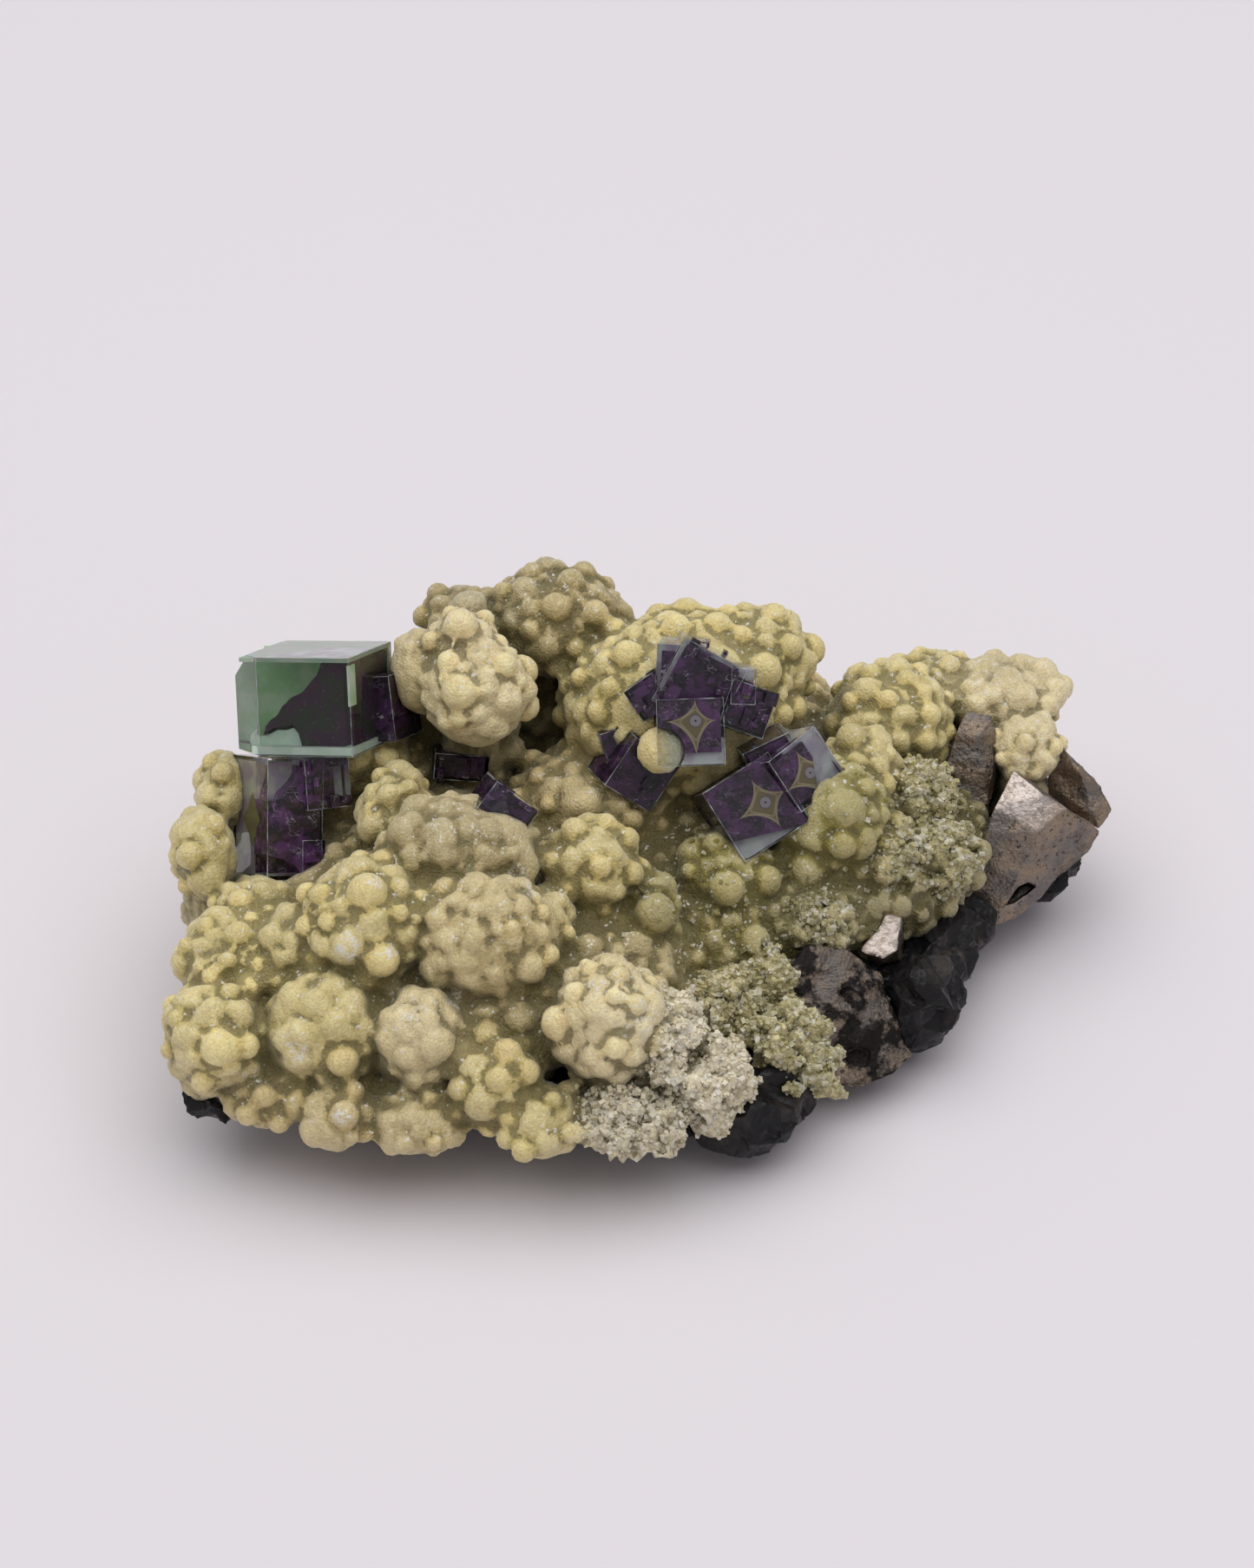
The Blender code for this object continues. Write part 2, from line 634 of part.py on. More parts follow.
def paint(thing, finish):
    """Give an object the plain colour of its mineral."""
    colour, roughness, metallic = COLOURS[finish]
    material = bpy.data.materials.get(finish) or bpy.data.materials.new(finish)
    material.use_nodes = True
    shader = material.node_tree.nodes["Principled BSDF"]
    shader.inputs["Base Color"].default_value = colour
    shader.inputs["Roughness"].default_value = roughness
    shader.inputs["Metallic"].default_value = metallic
    material.diffuse_color = colour
    thing.data.materials.clear()
    thing.data.materials.append(material)


def main():
    """Build the specimen, and let each mineral give way to those that its neighbours grew around."""
    clear_scene()
    specimen = new_collection("Fluorite on dolomite")
    cutters = new_collection("Cutters")
    masses = lobes()
    placed = place_blocks(masses)

    blocks = [make_sulphide(name, specimen) for name in SULPHIDES]
    crystals = [make_fluorite(name, placed, specimen) for name in FLUORITES]
    rock, crust = make_rock(specimen), make_crust(specimen, masses, placed)

    # Whatever stands later in this order gives way to all that stands before it
    solids = [*blocks, *crystals, rock, crust]
    grown = [[grown_copy(block, cutters)] for block in blocks]
    grown += [grown_cuboids(name, placed, cutters) for name in FLUORITES]
    grown.append([grown_copy(rock, cutters)])
    for place, solid in enumerate(solids):
        before = len(solid.data.polygons)
        for cutter in [one for several in grown[:place] for one in several]:
            if touches(solid, cutter):
                combine(solid, cutter, "DIFFERENCE")
        keep_largest_shell(solid)
        if len(solid.data.polygons) < before / 2:
            raise RuntimeError("a cut has taken most of " + solid.name)
    for cutter in list(cutters.objects):
        bpy.data.objects.remove(cutter)

    paint(rock, "sphalerite")
    paint(crust, "dolomite")
    for block in blocks:
        paint(block, "arsenopyrite")
    for crystal in crystals:
        paint(crystal, "green fluorite" if crystal.name.startswith("green") else "purple fluorite")


main()
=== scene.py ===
"""Looks of a fluorite specimen: clear and purple cubes on pearly dolomite, with metallic blocks and dark rock.

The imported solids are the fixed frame. Every mineral is built again here with its fine surface, in the place of
its solid: the crust with thousands of pearls, the cubes as clear glass round their coloured growth zones, the
metallic blocks with worn faces. Lengths are in metres, +Z is up. Pixels are those of the 1445 x 1807 photograph.
"""

import sys

import logging
import math
import random
from dataclasses import dataclass, field
from enum import Enum
from typing import NamedTuple

import bmesh
import bpy
import numpy as np
from bpy.types import Material, Mesh, Node, NodeSocket, NodeTree, Object, bpy_prop_collection
from mathutils import Euler, Matrix, Vector, noise
from mathutils.bvhtree import BVHTree
from mathutils.kdtree import KDTree


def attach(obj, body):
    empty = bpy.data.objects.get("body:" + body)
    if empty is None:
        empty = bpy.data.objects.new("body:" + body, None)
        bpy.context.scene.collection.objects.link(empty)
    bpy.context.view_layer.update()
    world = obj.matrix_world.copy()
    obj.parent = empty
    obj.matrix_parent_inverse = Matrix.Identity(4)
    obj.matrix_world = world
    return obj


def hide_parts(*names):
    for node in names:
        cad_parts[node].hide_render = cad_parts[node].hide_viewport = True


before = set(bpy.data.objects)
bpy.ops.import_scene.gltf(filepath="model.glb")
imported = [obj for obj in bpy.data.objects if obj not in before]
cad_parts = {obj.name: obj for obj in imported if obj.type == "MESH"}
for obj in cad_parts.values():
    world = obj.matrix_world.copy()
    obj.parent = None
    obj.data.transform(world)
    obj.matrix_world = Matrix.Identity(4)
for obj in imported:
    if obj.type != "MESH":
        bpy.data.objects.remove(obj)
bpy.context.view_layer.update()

LOG = logging.getLogger("specimen")
MM = 0.001
BODY = "root"
# Without it, the noise that frays the zones' rims would differ from run to run
NOISE_SEED = 7
# The turn from each point of a spiral to the next that spreads them evenly
GOLDEN = math.pi * (3 - math.sqrt(5))

Colour = tuple[float, float, float]
Masses = list[tuple[Vector, Vector, tuple[float, float], Colour]]


class Tone(Enum):
    """Body colours of the dolomite, as linear red, green and blue."""

    KHAKI = (0.69, 0.59, 0.265)
    CREAM = (0.80, 0.69, 0.42)
    TAN = (0.60, 0.49, 0.25)
    DULL = (0.42, 0.34, 0.16)
    OLIVE = (0.30, 0.262, 0.060)
    DEEP = (0.13, 0.107, 0.026)
    GLASSY = (0.52, 0.47, 0.24)
    SUGAR = (0.84, 0.77, 0.60)


class Zoom(Enum):
    """How fine the meshes are made."""

    FULL = 1.0
    QUICK = 1.6


ZOOM = Zoom.FULL


@dataclass(frozen=True)
class Sight:
    """The line of sight of the photograph.

    Attributes:
        elevation: How far the camera looks down, in degrees.
        distance: From the lens to the target.
        target: The point in the middle of the picture.
        lens: Focal length in mm, on a sensor whose long side is sensor mm.
        columns: How wide the photograph is, in pixels.
        rows: How high it is, in pixels.
    """

    elevation: float = 38.0
    distance: float = 465 * MM
    target: tuple[float, float, float] = (-3 * MM, 7 * MM, 20 * MM)
    lens: float = 100.0
    sensor: float = 36.0
    columns: int = 1445
    rows: int = 1807

    def to_eye(self) -> Vector:
        """The direction from the specimen to the lens."""
        angle = math.radians(self.elevation)
        return Vector((0, -math.cos(angle), math.sin(angle)))

    def turn(self) -> Matrix:
        """The camera's axes as a turn: right, up, and towards the eye."""
        angle = math.radians(self.elevation)
        up = Vector((0, math.sin(angle), math.cos(angle)))
        return Matrix((Vector((1, 0, 0)), up, self.to_eye())).transposed()

    def eye(self) -> Vector:
        """Where the lens is."""
        return Vector(self.target) + self.to_eye() * self.distance

    def way(self, column: float, row: float) -> Vector:
        """The direction from the lens through a pixel."""
        step = self.sensor / self.lens / self.rows
        aim = Vector(((column - self.columns / 2) * step, (self.rows / 2 - row) * step, -1))
        return (self.turn() @ aim).normalized()

    def at_height(self, column: float, row: float, height: float) -> Vector:
        """The point that shows at a pixel, at a height in mm above the rest face."""
        eye, way = self.eye(), self.way(column, row)
        return eye + way * ((height * MM - eye.z) / way.z)


SIGHT = Sight()


class Graph:
    """A node tree with short ways to add its nodes."""

    def __init__(self, tree: NodeTree) -> None:
        """Take up a tree that already exists."""
        self.tree = tree

    def add(self, kind: str, inputs: dict | None = None, **settings: object) -> Node:
        """Add a node.

        Args:
            kind: Blender's name of the node type.
            inputs: Its inputs by name or place, each a plain value or the socket that feeds it.
            settings: The node's own settings.

        Returns:
            The new node.
        """
        node = self.tree.nodes.new(kind)
        for name, value in settings.items():
            setattr(node, name, value)
        self.fill(node, inputs or {})
        return node

    def fill(self, node: Node, inputs: dict) -> None:
        """Link or set a node's inputs, which are given by name or place."""
        for key, value in inputs.items():
            self.feed(node.inputs[key], value)

    def feed(self, socket: NodeSocket, value: object) -> None:
        """Link a socket to an input, or set the input to a plain value."""
        if isinstance(value, NodeSocket):
            self.tree.links.new(value, socket)
        else:
            socket.default_value = value

    def math(self, operation: str, first: object, second: object = 0.0, clamp: bool = False) -> object:
        """The result of one sum on two values."""
        node = self.add("ShaderNodeMath", {0: first, 1: second}, operation=operation, use_clamp=clamp)
        return node.outputs[0]

    def plus(self, first: object, second: object) -> object:
        """One value and another."""
        return self.math("ADD", first, second)

    def less(self, first: object, second: object) -> object:
        """One value less another."""
        return self.math("SUBTRACT", first, second)

    def times(self, first: object, second: object) -> object:
        """One value times another."""
        return self.math("MULTIPLY", first, second)

    def mix(self, share: object, first: object, second: object, way: str = "MIX") -> object:
        """A colour between two colours."""
        inputs = {0: share, 6: opaque(first), 7: opaque(second)}
        node = self.add("ShaderNodeMix", inputs, data_type="RGBA", blend_type=way)
        return node.outputs[2]

    def tinted(self, colour: object, tint: object) -> object:
        """A colour times another."""
        return self.mix(1.0, colour, tint, "MULTIPLY")

    def rise(self, value: object, low: float, high: float, bottom: float = 0.0, top: float = 1.0) -> object:
        """A smooth step from bottom to top while a value goes from low to high."""
        inputs = {"Value": value, "From Min": low, "From Max": high, "To Min": bottom, "To Max": top}
        return self.add("ShaderNodeMapRange", inputs, interpolation_type="SMOOTHSTEP").outputs[0]

    def noise(self, where: object, size: float, detail: float = 2.0, rough: float = 0.5) -> object:
        """Fractal noise from 0 to 1, whose features are size metres across."""
        inputs = {"Vector": where, "Scale": 1 / size, "Detail": detail, "Roughness": rough}
        return self.add("ShaderNodeTexNoise", inputs).outputs[0]

    def cells(self, where: object, scale: object, **settings: object) -> bpy_prop_collection:
        """The outputs of a pattern of cells, of which scale lie in a metre."""
        return self.add("ShaderNodeTexVoronoi", {"Vector": where, "Scale": scale}, **settings).outputs

    def value(self, name: str) -> object:
        """A number that the mesh holds for each vertex, for a shader."""
        return self.add("ShaderNodeAttribute", attribute_name=name).outputs["Fac"]

    def kept(self, name: str) -> object:
        """A number that the mesh holds for each vertex, for Geometry Nodes."""
        return self.add("GeometryNodeInputNamedAttribute", {"Name": name}, data_type="FLOAT").outputs[0]

    def tint(self, name: str) -> object:
        """A colour that the mesh holds for each vertex."""
        return self.add("ShaderNodeAttribute", attribute_name=name).outputs["Color"]

    def place(self) -> object:
        """The object's own coordinates."""
        return self.add("ShaderNodeTexCoord").outputs["Object"]

    def bump(self, height: object, depth: float, strength: float = 1.0, below: object = None) -> object:
        """A normal that is tilted by a height map of a depth in metres."""
        inputs = {"Height": height, "Distance": depth, "Strength": strength}
        if below is not None:
            inputs["Normal"] = below
        return self.add("ShaderNodeBump", inputs).outputs[0]


def opaque(colour: object) -> object:
    """A colour with its fourth number, or the socket that is given."""
    return (*colour, 1) if isinstance(colour, tuple) and len(colour) == 3 else colour


def new_material(name: str) -> tuple[Material, Graph, Node]:
    """Make a material.

    Args:
        name: What the finish is called.

    Returns:
        The material, its nodes, and its Principled shader.
    """
    material = bpy.data.materials.new(name)
    material.use_nodes = True
    graph = Graph(material.node_tree)
    return material, graph, material.node_tree.nodes["Principled BSDF"]


def new_group(name: str, kind: str, takes: dict[str, str], gives: dict[str, str]) -> tuple[Graph, object, object]:
    """Make a node group with named inputs and outputs.

    Args:
        name: What the group does.
        kind: ShaderNodeTree or GeometryNodeTree.
        takes: Its inputs and their socket types.
        gives: Its outputs and their socket types.

    Returns:
        The group's nodes, its input node's outputs and its output node's inputs.
    """
    tree = bpy.data.node_groups.new(name, kind)
    for socket, its_type in takes.items():
        tree.interface.new_socket(name=socket, in_out="INPUT", socket_type=its_type)
    for socket, its_type in gives.items():
        tree.interface.new_socket(name=socket, in_out="OUTPUT", socket_type=its_type)
    graph = Graph(tree)
    return graph, graph.add("NodeGroupInput").outputs, graph.add("NodeGroupOutput").inputs


def floats(*names: str) -> dict[str, str]:
    """Sockets by name that each hold a number."""
    return {name: "NodeSocketFloat" for name in names}


def geometry_group(name: str, takes: dict[str, str]) -> tuple[Graph, object, object]:
    """Make a Geometry Nodes tree that takes a mesh and its material, and gives a mesh.

    Args:
        name: What the tree does.
        takes: Its other inputs and their socket types.

    Returns:
        The tree's nodes, its input node's outputs and its output node's inputs.
    """
    mesh = {"Geometry": "NodeSocketGeometry"}
    return new_group(name, "GeometryNodeTree", {**mesh, **takes, "Finish": "NodeSocketMaterial"}, mesh)


def finish_nodes(graph: Graph, made: Node, given: object, result: object) -> NodeTree:
    """End a Geometry Nodes tree with real meshes of its material.

    Args:
        graph: The tree's nodes.
        made: The node that makes its mesh.
        given: Its input node's outputs.
        result: Its output node's inputs.

    Returns:
        The tree.
    """
    real = graph.add("GeometryNodeRealizeInstances", {0: made.outputs[0]})
    set_to = graph.add("GeometryNodeSetMaterial", {0: real.outputs[0], "Material": given["Finish"]})
    graph.feed(result[0], set_to.outputs[0])
    return graph.tree


def use_group(graph: Graph, group: NodeTree, inputs: dict) -> bpy_prop_collection:
    """Place a shader node group in a material, and return its outputs."""
    return graph.add("ShaderNodeGroup", inputs, node_tree=group).outputs


def run_nodes(thing: Object, tree: NodeTree, values: dict[str, object]) -> None:
    """Let Geometry Nodes make an object's mesh, and keep the plain result.

    Args:
        thing: The object that the tree starts from.
        tree: The Geometry Nodes tree.
        values: Its inputs by name.
    """
    modifier = thing.modifiers.new(tree.name, "NODES")
    modifier.node_group = tree
    for item in tree.interface.items_tree:
        if item.item_type == "SOCKET" and item.in_out == "INPUT" and item.name in values:
            modifier[item.identifier] = values[item.name]
    settle(thing)


def link(name: str, data: Mesh) -> Object:
    """A new object in the scene that holds a mesh."""
    thing = bpy.data.objects.new(name, data)
    bpy.context.scene.collection.objects.link(thing)
    return thing


def object_from(mesh: bmesh.types.BMesh, name: str) -> Object:
    """An object that holds a bmesh, which is freed."""
    data = bpy.data.meshes.new(name)
    mesh.to_mesh(data)
    mesh.free()
    return link(name, data)


def settle(thing: Object) -> None:
    """Replace an object's mesh by what its modifiers make of it."""
    graph = bpy.context.evaluated_depsgraph_get()
    data = bpy.data.meshes.new_from_object(thing.evaluated_get(graph))
    thing.modifiers.clear()
    thing.data = data


def combine(
    thing: Object, other: Object, operation: str, solver: str = "MANIFOLD", keep: bool = False
) -> None:
    """Join a closed mesh to another, or cut it away.

    Args:
        thing: The object that is changed.
        other: What is joined to it or cut away from it.
        operation: UNION or DIFFERENCE.
        solver: How Blender works it out.
        keep: Whether the other object is kept.
    """
    step = thing.modifiers.new(operation.lower(), "BOOLEAN")
    step.operation, step.object, step.solver = operation, other, solver
    settle(thing)
    if not keep:
        bpy.data.objects.remove(other)


def bevel_edges(thing: Object, width: float, segments: int, angle: float) -> None:
    """Join an object's flat triangles, and bevel its edges.

    Args:
        thing: The object.
        width: How wide the bevel is.
        segments: How many faces it has.
        angle: Edges that turn by less than this, in degrees, are left.
    """
    mesh = bmesh.new()
    mesh.from_mesh(thing.data)
    bmesh.ops.dissolve_limit(mesh, angle_limit=math.radians(1), verts=mesh.verts, edges=mesh.edges)
    mesh.to_mesh(thing.data)
    mesh.free()
    edge = thing.modifiers.new("edges", "BEVEL")
    edge.width, edge.segments, edge.limit_method = width, segments, "ANGLE"
    edge.angle_limit = math.radians(angle)
    settle(thing)


def remesh(thing: Object, voxel: float, triangles: int = 0) -> None:
    """Fuse all that an object holds into one skin.

    Args:
        thing: The object.
        voxel: How fine the skin is.
        triangles: The skin is thinned to this number of triangles, if it is given.
    """
    skin = thing.modifiers.new("skin", "REMESH")
    skin.mode, skin.voxel_size = "VOXEL", voxel
    settle(thing)
    if triangles and 2 * len(thing.data.polygons) > triangles:
        thin = thing.modifiers.new("thin", "DECIMATE")
        thin.ratio = triangles / (2 * len(thing.data.polygons))
        settle(thing)


def ball(mesh: bmesh.types.BMesh, middle: Vector, radii: Vector, divisions: int = 3) -> None:
    """Add one stretched icosphere to a bmesh."""
    matrix = Matrix.Translation(middle) @ Matrix.Diagonal((*radii, 1))
    bmesh.ops.create_icosphere(mesh, subdivisions=divisions, radius=1, matrix=matrix)


def spots_of(data: Mesh) -> np.ndarray:
    """The places of a mesh's vertices, a row each."""
    found = np.empty(len(data.vertices) * 3, np.float32)
    data.vertices.foreach_get("co", found)
    return found.reshape(-1, 3).astype(float)


def normals_of(data: Mesh) -> np.ndarray:
    """The normals at a mesh's vertices, a row each."""
    found = np.empty(len(data.vertices) * 3, np.float32)
    data.vertex_normals.foreach_get("vector", found)
    return found.reshape(-1, 3).astype(float)


def move_to(data: Mesh, spots: np.ndarray) -> None:
    """Move a mesh's vertices."""
    data.vertices.foreach_set("co", spots.astype(np.float32).ravel())
    data.update()


def keep_value(data: Mesh, name: str, values: np.ndarray) -> None:
    """Write a number, or a colour of three numbers, for each vertex of a mesh."""
    if values.ndim == 1:
        layer = data.attributes.new(name, "FLOAT", "POINT")
        layer.data.foreach_set("value", values.astype(np.float32))
    else:
        layer = data.attributes.new(name, "FLOAT_COLOR", "POINT")
        rows = np.hstack([values, np.ones((len(values), 1))])
        layer.data.foreach_set("color", rows.astype(np.float32).ravel())


def smoothed(data: Mesh, values: np.ndarray, rounds: int) -> np.ndarray:
    """Values at a mesh's vertices, each averaged with its neighbours' a number of times."""
    edges = np.empty(len(data.edges) * 2, np.int32)
    data.edges.foreach_get("vertices", edges)
    one, other = edges.reshape(-1, 2).T
    count = np.bincount(one, minlength=len(values)) + np.bincount(other, minlength=len(values))
    columns = values.reshape(len(values), -1).T.copy()
    for _ in range(rounds):
        for k, column in enumerate(columns):
            total = np.bincount(one, column[other], len(column)) + np.bincount(other, column[one], len(column))
            columns[k] = (column + total) / (count + 1)
    return columns.T.reshape(values.shape)


def tree_of(thing: Object) -> BVHTree:
    """A mesh made ready for rays."""
    data = thing.data
    return BVHTree.FromPolygons([v.co for v in data.vertices], [p.vertices for p in data.polygons])


def openness(thing: Object, reach: float) -> np.ndarray:
    """How open the surface is at each vertex, from 0 in a closed crack to 1 on a free crest.

    Args:
        thing: The object.
        reach: Walls that are further away than this don't count.

    Returns:
        A number for each vertex.
    """
    tree, count = tree_of(thing), 22
    ways = []
    for k in range(count):
        up = 1 - 2 * (k + 0.5) / count
        ring = math.sqrt(1 - up * up)
        ways.append(Vector((ring * math.cos(GOLDEN * k), ring * math.sin(GOLDEN * k), up)))
    found = np.zeros(len(thing.data.vertices))
    for place, vertex in enumerate(thing.data.vertices):
        normal, start = vertex.normal, vertex.co + vertex.normal * 0.1 * MM
        total = clear = 0.0
        for way in ways:
            weight = normal.dot(way)
            if weight > 0.25:
                total += weight
                if tree.ray_cast(start, way, reach)[0] is None:
                    clear += weight
        found[place] = clear / total if total else 1
    return smoothed(thing.data, found, 2)


def smooth_shade(thing: Object, sharp: float = 180.0) -> None:
    """Shade an object smooth, but for edges that turn by more than an angle in degrees."""
    thing.data.shade_smooth()
    if sharp < 180:
        thing.data.set_sharp_from_angle(angle=math.radians(sharp))


def dress(thing: Object, material: Material) -> None:
    """Give an object one material."""
    thing.data.materials.clear()
    thing.data.materials.append(material)


def hand_over(thing: Object, slot: str, *nodes: str) -> None:
    """Let a finished piece ride on the specimen, in the place of the solids that it stands for.

    Args:
        thing: The finished piece.
        slot: Not used.
        nodes: The solids that it replaces.
    """
    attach(thing, BODY)
    if nodes:
        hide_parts(*nodes)
    LOG.info("%s: %d faces", thing.name, len(thing.data.polygons))


def node_copy(node: str, name: str) -> Object:
    """A copy of a solid of the frame, with its triangles joined."""
    mesh = bmesh.new()
    mesh.from_mesh(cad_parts[node].data)
    bmesh.ops.remove_doubles(mesh, verts=mesh.verts, dist=0.001 * MM)
    return object_from(mesh, name)


# The crust: the same masses as the solid's, but for eight that stand nearer to where the photograph shows them


class Lobe(NamedTuple):
    """A rounded mass of the crust: its middle in the photograph, its height, and its radii in mm."""

    column: float
    row: float
    height: float
    radii: tuple
    pearls: tuple = (1.0, 1.7)
    tone: Tone = Tone.KHAKI


class Hidden(NamedTuple):
    """A rounded mass of the crust on the far side: its middle and its radii, in mm."""

    place: tuple
    radii: tuple
    pearls: tuple = (1.1, 1.9)
    tone: Tone = Tone.TAN


LOBES = {
    # The front row, just above the rock
    "front_left": Lobe(375, 1188, 14, (6.5, 6.0, 6.2), (0.6, 1.2)),
    "front_middle": Lobe(487, 1202, 14, (4.8, 5.0, 5.8), (0.6, 1.2), Tone.CREAM),
    "front_bud": Lobe(572, 1246, 12, (4.4, 4.5, 4.4), (1.1, 1.8)),
    "front_right": Lobe(700, 1180, 16, (5.6, 5.6, 6.6), (0.9, 1.6), Tone.CREAM),
    "front_shoulder": Lobe(762, 1205, 13, (4.2, 5.0, 5.0), (0.6, 1.0), Tone.SUGAR),
    "foot_left": Lobe(390, 1282, 9.5, (3.6, 4.4, 3.0), (1.2, 1.8), Tone.TAN),
    "foot_middle": Lobe(480, 1288, 9, (5.0, 4.6, 2.9), (0.8, 1.4), Tone.TAN),
    "foot_right": Lobe(620, 1290, 9.5, (4.2, 4.6, 3.0), (1.1, 1.7)),
    "foot_ledge": Lobe(728, 1288, 9, (5.6, 5.0, 2.8), (0.6, 1.0), Tone.SUGAR),
    "foot_corner": Lobe(310, 1255, 9.5, (4.6, 4.6, 2.9), (1.0, 1.6), Tone.TAN),
    "left_low": Lobe(252, 1192, 14, (5.2, 6.0, 5.4), (1.1, 1.9)),
    "left_edge": Lobe(238, 1218, 12, (3.4, 4.5, 3.8), (1.1, 1.7), Tone.TAN),
    "left_mid": Lobe(262, 1112, 17, (4.8, 5.5, 4.6), (1.1, 1.8)),
    # The second tier
    "upper_left": Lobe(425, 1062, 22, (7.0, 6.5, 6.0), (1.1, 1.9)),
    "upper_slope": Lobe(345, 1100, 18, (4.6, 5.0, 4.6), (1.0, 1.6)),
    "upper_right": Lobe(562, 1082, 21, (7.4, 6.5, 6.4), (0.8, 1.3), Tone.TAN),
    "upper_end": Lobe(625, 1075, 20, (3.2, 4.2, 4.2), (1.0, 1.5)),
    "under_cube": Lobe(296, 1056, 17.4, (4.6, 5.0, 3.4), (1.1, 1.9)),
    "left_top": Lobe(238, 985, 20, (3.0, 4.6, 4.8), (1.1, 2.0)),
    "left_back": Lobe(262, 914, 21, (2.8, 4.4, 4.2), (1.1, 2.0)),
    "saddle": Lobe(530, 975, 26, (7.9, 6.0, 4.6), (0.7, 1.2), Tone.DULL),
    "saddle_back": Lobe(456, 934, 25, (3.4, 5.0, 3.4), (1.2, 2.0)),
    "middle": Lobe(683, 1000, 22, (4.9, 5.0, 4.6), (1.3, 2.0)),
    "finger": Lobe(752, 1052, 18, (2.5, 3.2, 3.7), (0.8, 1.2), Tone.OLIVE),
    "hollow": Lobe(690, 915, 20, (9.0, 7.0, 4.0), (1.2, 1.9), Tone.TAN),
    "under_green": Lobe(385, 850, 24, (8.0, 7.0, 5.5), (1.2, 1.9)),
    # The domes at the back
    "dome": Lobe(548, 798, 32.2, (5.4, 5.4, 5.5), (1.1, 2.2), Tone.CREAM),
    "dome_top": Lobe(533, 746, 35.4, (3.8, 3.6, 3.7), (0.9, 1.6), Tone.CREAM),
    "dome_side": Lobe(490, 775, 32, (3.6, 4.4, 4.4), (1.1, 1.8), Tone.TAN),
    "back_dome": Lobe(638, 718, 31, (7.4, 6.5, 5.6), (1.2, 2.0), Tone.DULL),
    "back_left": Lobe(530, 712, 30, (4.0, 4.4, 2.8), (1.2, 1.8), Tone.DULL),
    "right_dome": Lobe(780, 815, 26, (12.2, 10.5, 9.6), (1.3, 2.1)),
    "right_dome_top": Lobe(868, 765, 29, (6.2, 6.0, 5.8), (1.4, 2.2)),
    "right_flank": Lobe(955, 950, 20, (6.6, 6.4, 7.2), (1.3, 2.0), Tone.OLIVE),
    "right_flank_top": Lobe(990, 893, 22, (4.2, 5.0, 4.6), (1.2, 1.9)),
    "pocket": Lobe(820, 1085, 12, (7.6, 6.5, 5.6), (1.3, 2.1), Tone.OLIVE),
    "pocket_top": Lobe(838, 1015, 17, (5.2, 5.5, 5.2), (1.3, 2.0), Tone.OLIVE),
    # The right end, where the crust is thin over the metallic blocks
    "end_dome": Lobe(1026, 828, 22, (6.4, 6.5, 5.2), (1.2, 1.9)),
    "end_back": Lobe(1150, 800, 22, (7.4, 5.0, 3.4), (0.7, 1.2), Tone.CREAM),
    "end_bridge": Lobe(1075, 795, 22, (5.4, 5.0, 3.4), (1.0, 1.6)),
    "end_cluster": Lobe(1180, 862, 20, (3.8, 3.6, 3.6), (0.9, 1.4), Tone.CREAM),
    "end_drusy": Lobe(1056, 930, 18.4, (4.0, 4.6, 4.6), (0.6, 1.0), Tone.GLASSY),
    "ledge_top": Lobe(1020, 992, 16.6, (4.4, 4.6, 4.2), (0.6, 1.0), Tone.GLASSY),
    "ledge_neck": Lobe(1082, 992, 16.0, (3.8, 4.2, 4.0), (0.6, 1.0), Tone.GLASSY),
    "ledge_mid": Lobe(940, 1062, 14.0, (4.6, 4.0, 3.6), (0.6, 1.0), Tone.GLASSY),
    "ledge_low": Lobe(880, 1140, 11, (3.4, 4.0, 3.8), (0.6, 1.0), Tone.GLASSY),
    "ledge_inner": Lobe(832, 1168, 11, (4.4, 4.4, 4.0), (0.9, 1.4), Tone.GLASSY),
    "ledge_foot": Lobe(905, 1200, 10, (3.6, 4.0, 3.6), (0.5, 0.9), Tone.GLASSY),
    "ledge_heel": Lobe(935, 1232, 8.5, (2.6, 3.4, 2.4), (0.5, 0.9), Tone.GLASSY),
    "ledge_end": Lobe(812, 1250, 10, (4.4, 4.6, 4.2), (0.5, 0.9), Tone.SUGAR),
}

HIDDEN_LOBES = {
    "core_left": Hidden((-20, -8, 13), (26, 23, 8), tone=Tone.DULL),
    "core_right": Hidden((12, 8, 13), (24, 20, 8), tone=Tone.DEEP),
    "far_left": Hidden((-30, 16, 17), (11, 10, 8)),
    "far_middle": Hidden((-9, 26, 17), (12, 9, 8)),
    "far_right": Hidden((10, 25, 15), (10, 8, 6.5)),
    "far_end": Hidden((32, 21, 14), (9, 8, 5)),
    "far_corner": Hidden((-38, 6, 14), (9, 9, 6)),
}


class Pearl(NamedTuple):
    """A single pearl that stands out: where it shows, and its radius in mm."""

    column: float
    row: float
    radius: float


